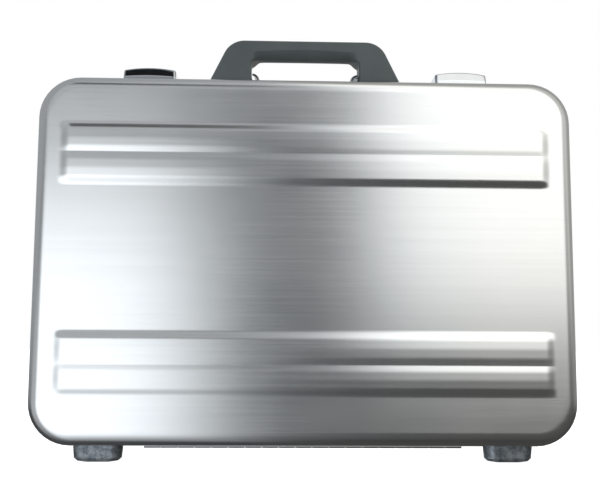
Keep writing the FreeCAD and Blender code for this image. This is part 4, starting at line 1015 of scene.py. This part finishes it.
def set_camera():
    """Camera just left of the case's middle, low, looking slightly up."""
    yaw, pitch, roll = (math.radians(a) for a in (CAMERA_YAW, CAMERA_PITCH, CAMERA_ROLL))
    ahead = Vector((math.sin(yaw) * math.cos(pitch), math.cos(yaw) * math.cos(pitch),
                    math.sin(pitch)))
    right = Vector((math.cos(yaw), -math.sin(yaw), 0))
    up = right.cross(ahead)
    tilted_right = right * math.cos(roll) + up * math.sin(roll)
    tilted_up = up * math.cos(roll) - right * math.sin(roll)
    lens = bpy.data.cameras.new("studio_camera")
    lens.lens = CAMERA_LENS
    lens.clip_end = 50
    camera = place_object("studio_camera", lens)
    camera.location = CAMERA_AT
    camera.rotation_euler = Matrix((tilted_right, tilted_up, -ahead)).transposed().to_euler()
    bpy.context.scene.camera = camera


def set_studio():
    """White surroundings to the eye. For light and reflections: a dim wall ahead of the case, a
    window low on the left, a larger one on the right, a dark band high up between them and to the
    left, and a pale wall behind."""
    world = bpy.data.worlds.new("studio")
    world.use_nodes = True
    world.node_tree.nodes.clear()
    shade = Shade(world.node_tree)
    x, y, z = shade.node("ShaderNodeTexCoord").parts()
    ahead = shade.maths("MAXIMUM", 0.0 - y, 0.05)
    across = x / ahead
    rise = z / ahead
    window_right = across.ease(0.085, 0.155) * rise.ease(-0.04, 0.08)
    window_right = window_right * (1 - 0.25 * rise.ease(0.75, 1.2))
    window_left = (0.0 - across).ease(0.02, 0.17) * z.ease(-1.25, -0.10)
    window_left = window_left * (1 - 0.88 * rise.ease(0.10, 0.28))
    sides = 1 - 0.72 * across.call("ABSOLUTE").ease(0.5, 1.3)
    wall = 0.05 + 0.025 * z.ease(-1.0, -0.6) + 0.015 * rise.ease(-0.06, 0.05)
    wall = wall + 0.22 * rise.ease(0.20, 0.5)
    room = wall + (1.25 * window_right + 1.4 * window_left) * sides
    shadow = (0.0 - x).ease(-0.02, 0.02) * (1 - (0.0 - x).ease(0.30, 0.36))
    room = room * (1 - 0.97 * shadow * z.ease(0.69, 0.74) * (1 - z.ease(0.85, 0.89)))
    behind = y.ease(-0.25, 0.15)
    back = 0.06 + 0.30 * z.ease(-0.25, 0.1) + 0.6 * y.ease(0.75, 0.95)
    room = room * (1 - behind) + behind * back
    warm = across.ease(0.05, 0.3)
    tint = warm.blend(rgb(0.96, 1.0, 1.04), rgb(1.02, 1.01, 0.97))
    lit = shade.node("ShaderNodeBackground", {"Color": tint, "Strength": room})
    seen = shade.node("ShaderNodeBackground", {"Color": rgb(1, 1, 1)})
    eye = shade.node("ShaderNodeLightPath")
    both = shade.node("ShaderNodeMixShader", {0: eye, 1: lit, 2: seen})
    shade.node("ShaderNodeOutputWorld", {"Surface": both})
    scene = bpy.context.scene
    scene.world = world
    scene.view_settings.view_transform = "Standard"


def set_floor():
    """Pale table that the case stands on, lit by itself and kept out of the case's reflections."""
    mesh = bpy.data.meshes.new("table_top")
    size = 12.0
    mesh.from_pydata([(-size, -size, 0), (size, -size, 0), (size, size, 0), (-size, size, 0)], [],
                     [(0, 1, 2, 3)])
    mesh.materials.append(finish_of("lit_table", lambda shade: {
        "Base Color": rgb(0.9, 0.9, 0.9), "Roughness": 0.6, "Emission Color": rgb(1, 1, 1),
        "Emission Strength": 0.95}))
    floor = place_object("table_top", mesh)
    floor.visible_glossy = False
    floor.visible_diffuse = False


def soft_light(name, place, aim, size, power):
    """Square area light aimed at a point."""
    lamp = bpy.data.lights.new(name, "AREA")
    lamp.shape = "SQUARE"
    lamp.size = size
    lamp.energy = power
    light = place_object(name, lamp)
    light.location = place
    light.rotation_euler = (Vector(aim) - Vector(place)).to_track_quat("-Z", "Y").to_euler()
    light.visible_camera = False
    light.visible_glossy = False


# ---- assembly ----

dress_frame()
bodies = {node: body for body, nodes in frame["record"]["behaviour"]["bodies"].items()
          for node in nodes}
lid_low, lid_high = span("lid_shell")
base_low, base_high = span("base_shell")
case_skin("lid_skin", "lid_shell", lid_low[1] + RIB_RISE, lid_high[1], "lid")
case_skin("base_skin", "base_shell", base_high[1] - RIB_RISE, base_low[1], "base")
for half, face, mouth in (("lid", 0, 1), ("base", 1, 0)):
    corners = span(half + "_lining")
    feet = ("left_base_foot", "right_base_foot") if half == "base" else ()
    heads = [sum(span(foot))[:2] / 2 for foot in feet]
    padded_lining(half + "_lining_quilt", half + "_lining", corners[face][1], corners[mouth][1],
                  half, heads)
pocket()
handle_skin()
handle_post(-1)
handle_post(1)
latch_cover(-1, "left_hasp_cover")
latch_cover(1, "right_hasp_cover")
for side in ("left", "right"):
    hasp_coil(side + "_hasp_spring", bodies[side + "_hasp_spring"])
    for number in (1, 2, 3):
        wheel = "%s_dial_%d" % (side, number)
        number_wheel(wheel, side + "_dial_spindle", bodies[wheel])
set_camera()
set_studio()
set_floor()
soft_light("top_softbox", (0.0, 0.1, 1.6), (0, 0, 0.2), 1.2, 9.0)
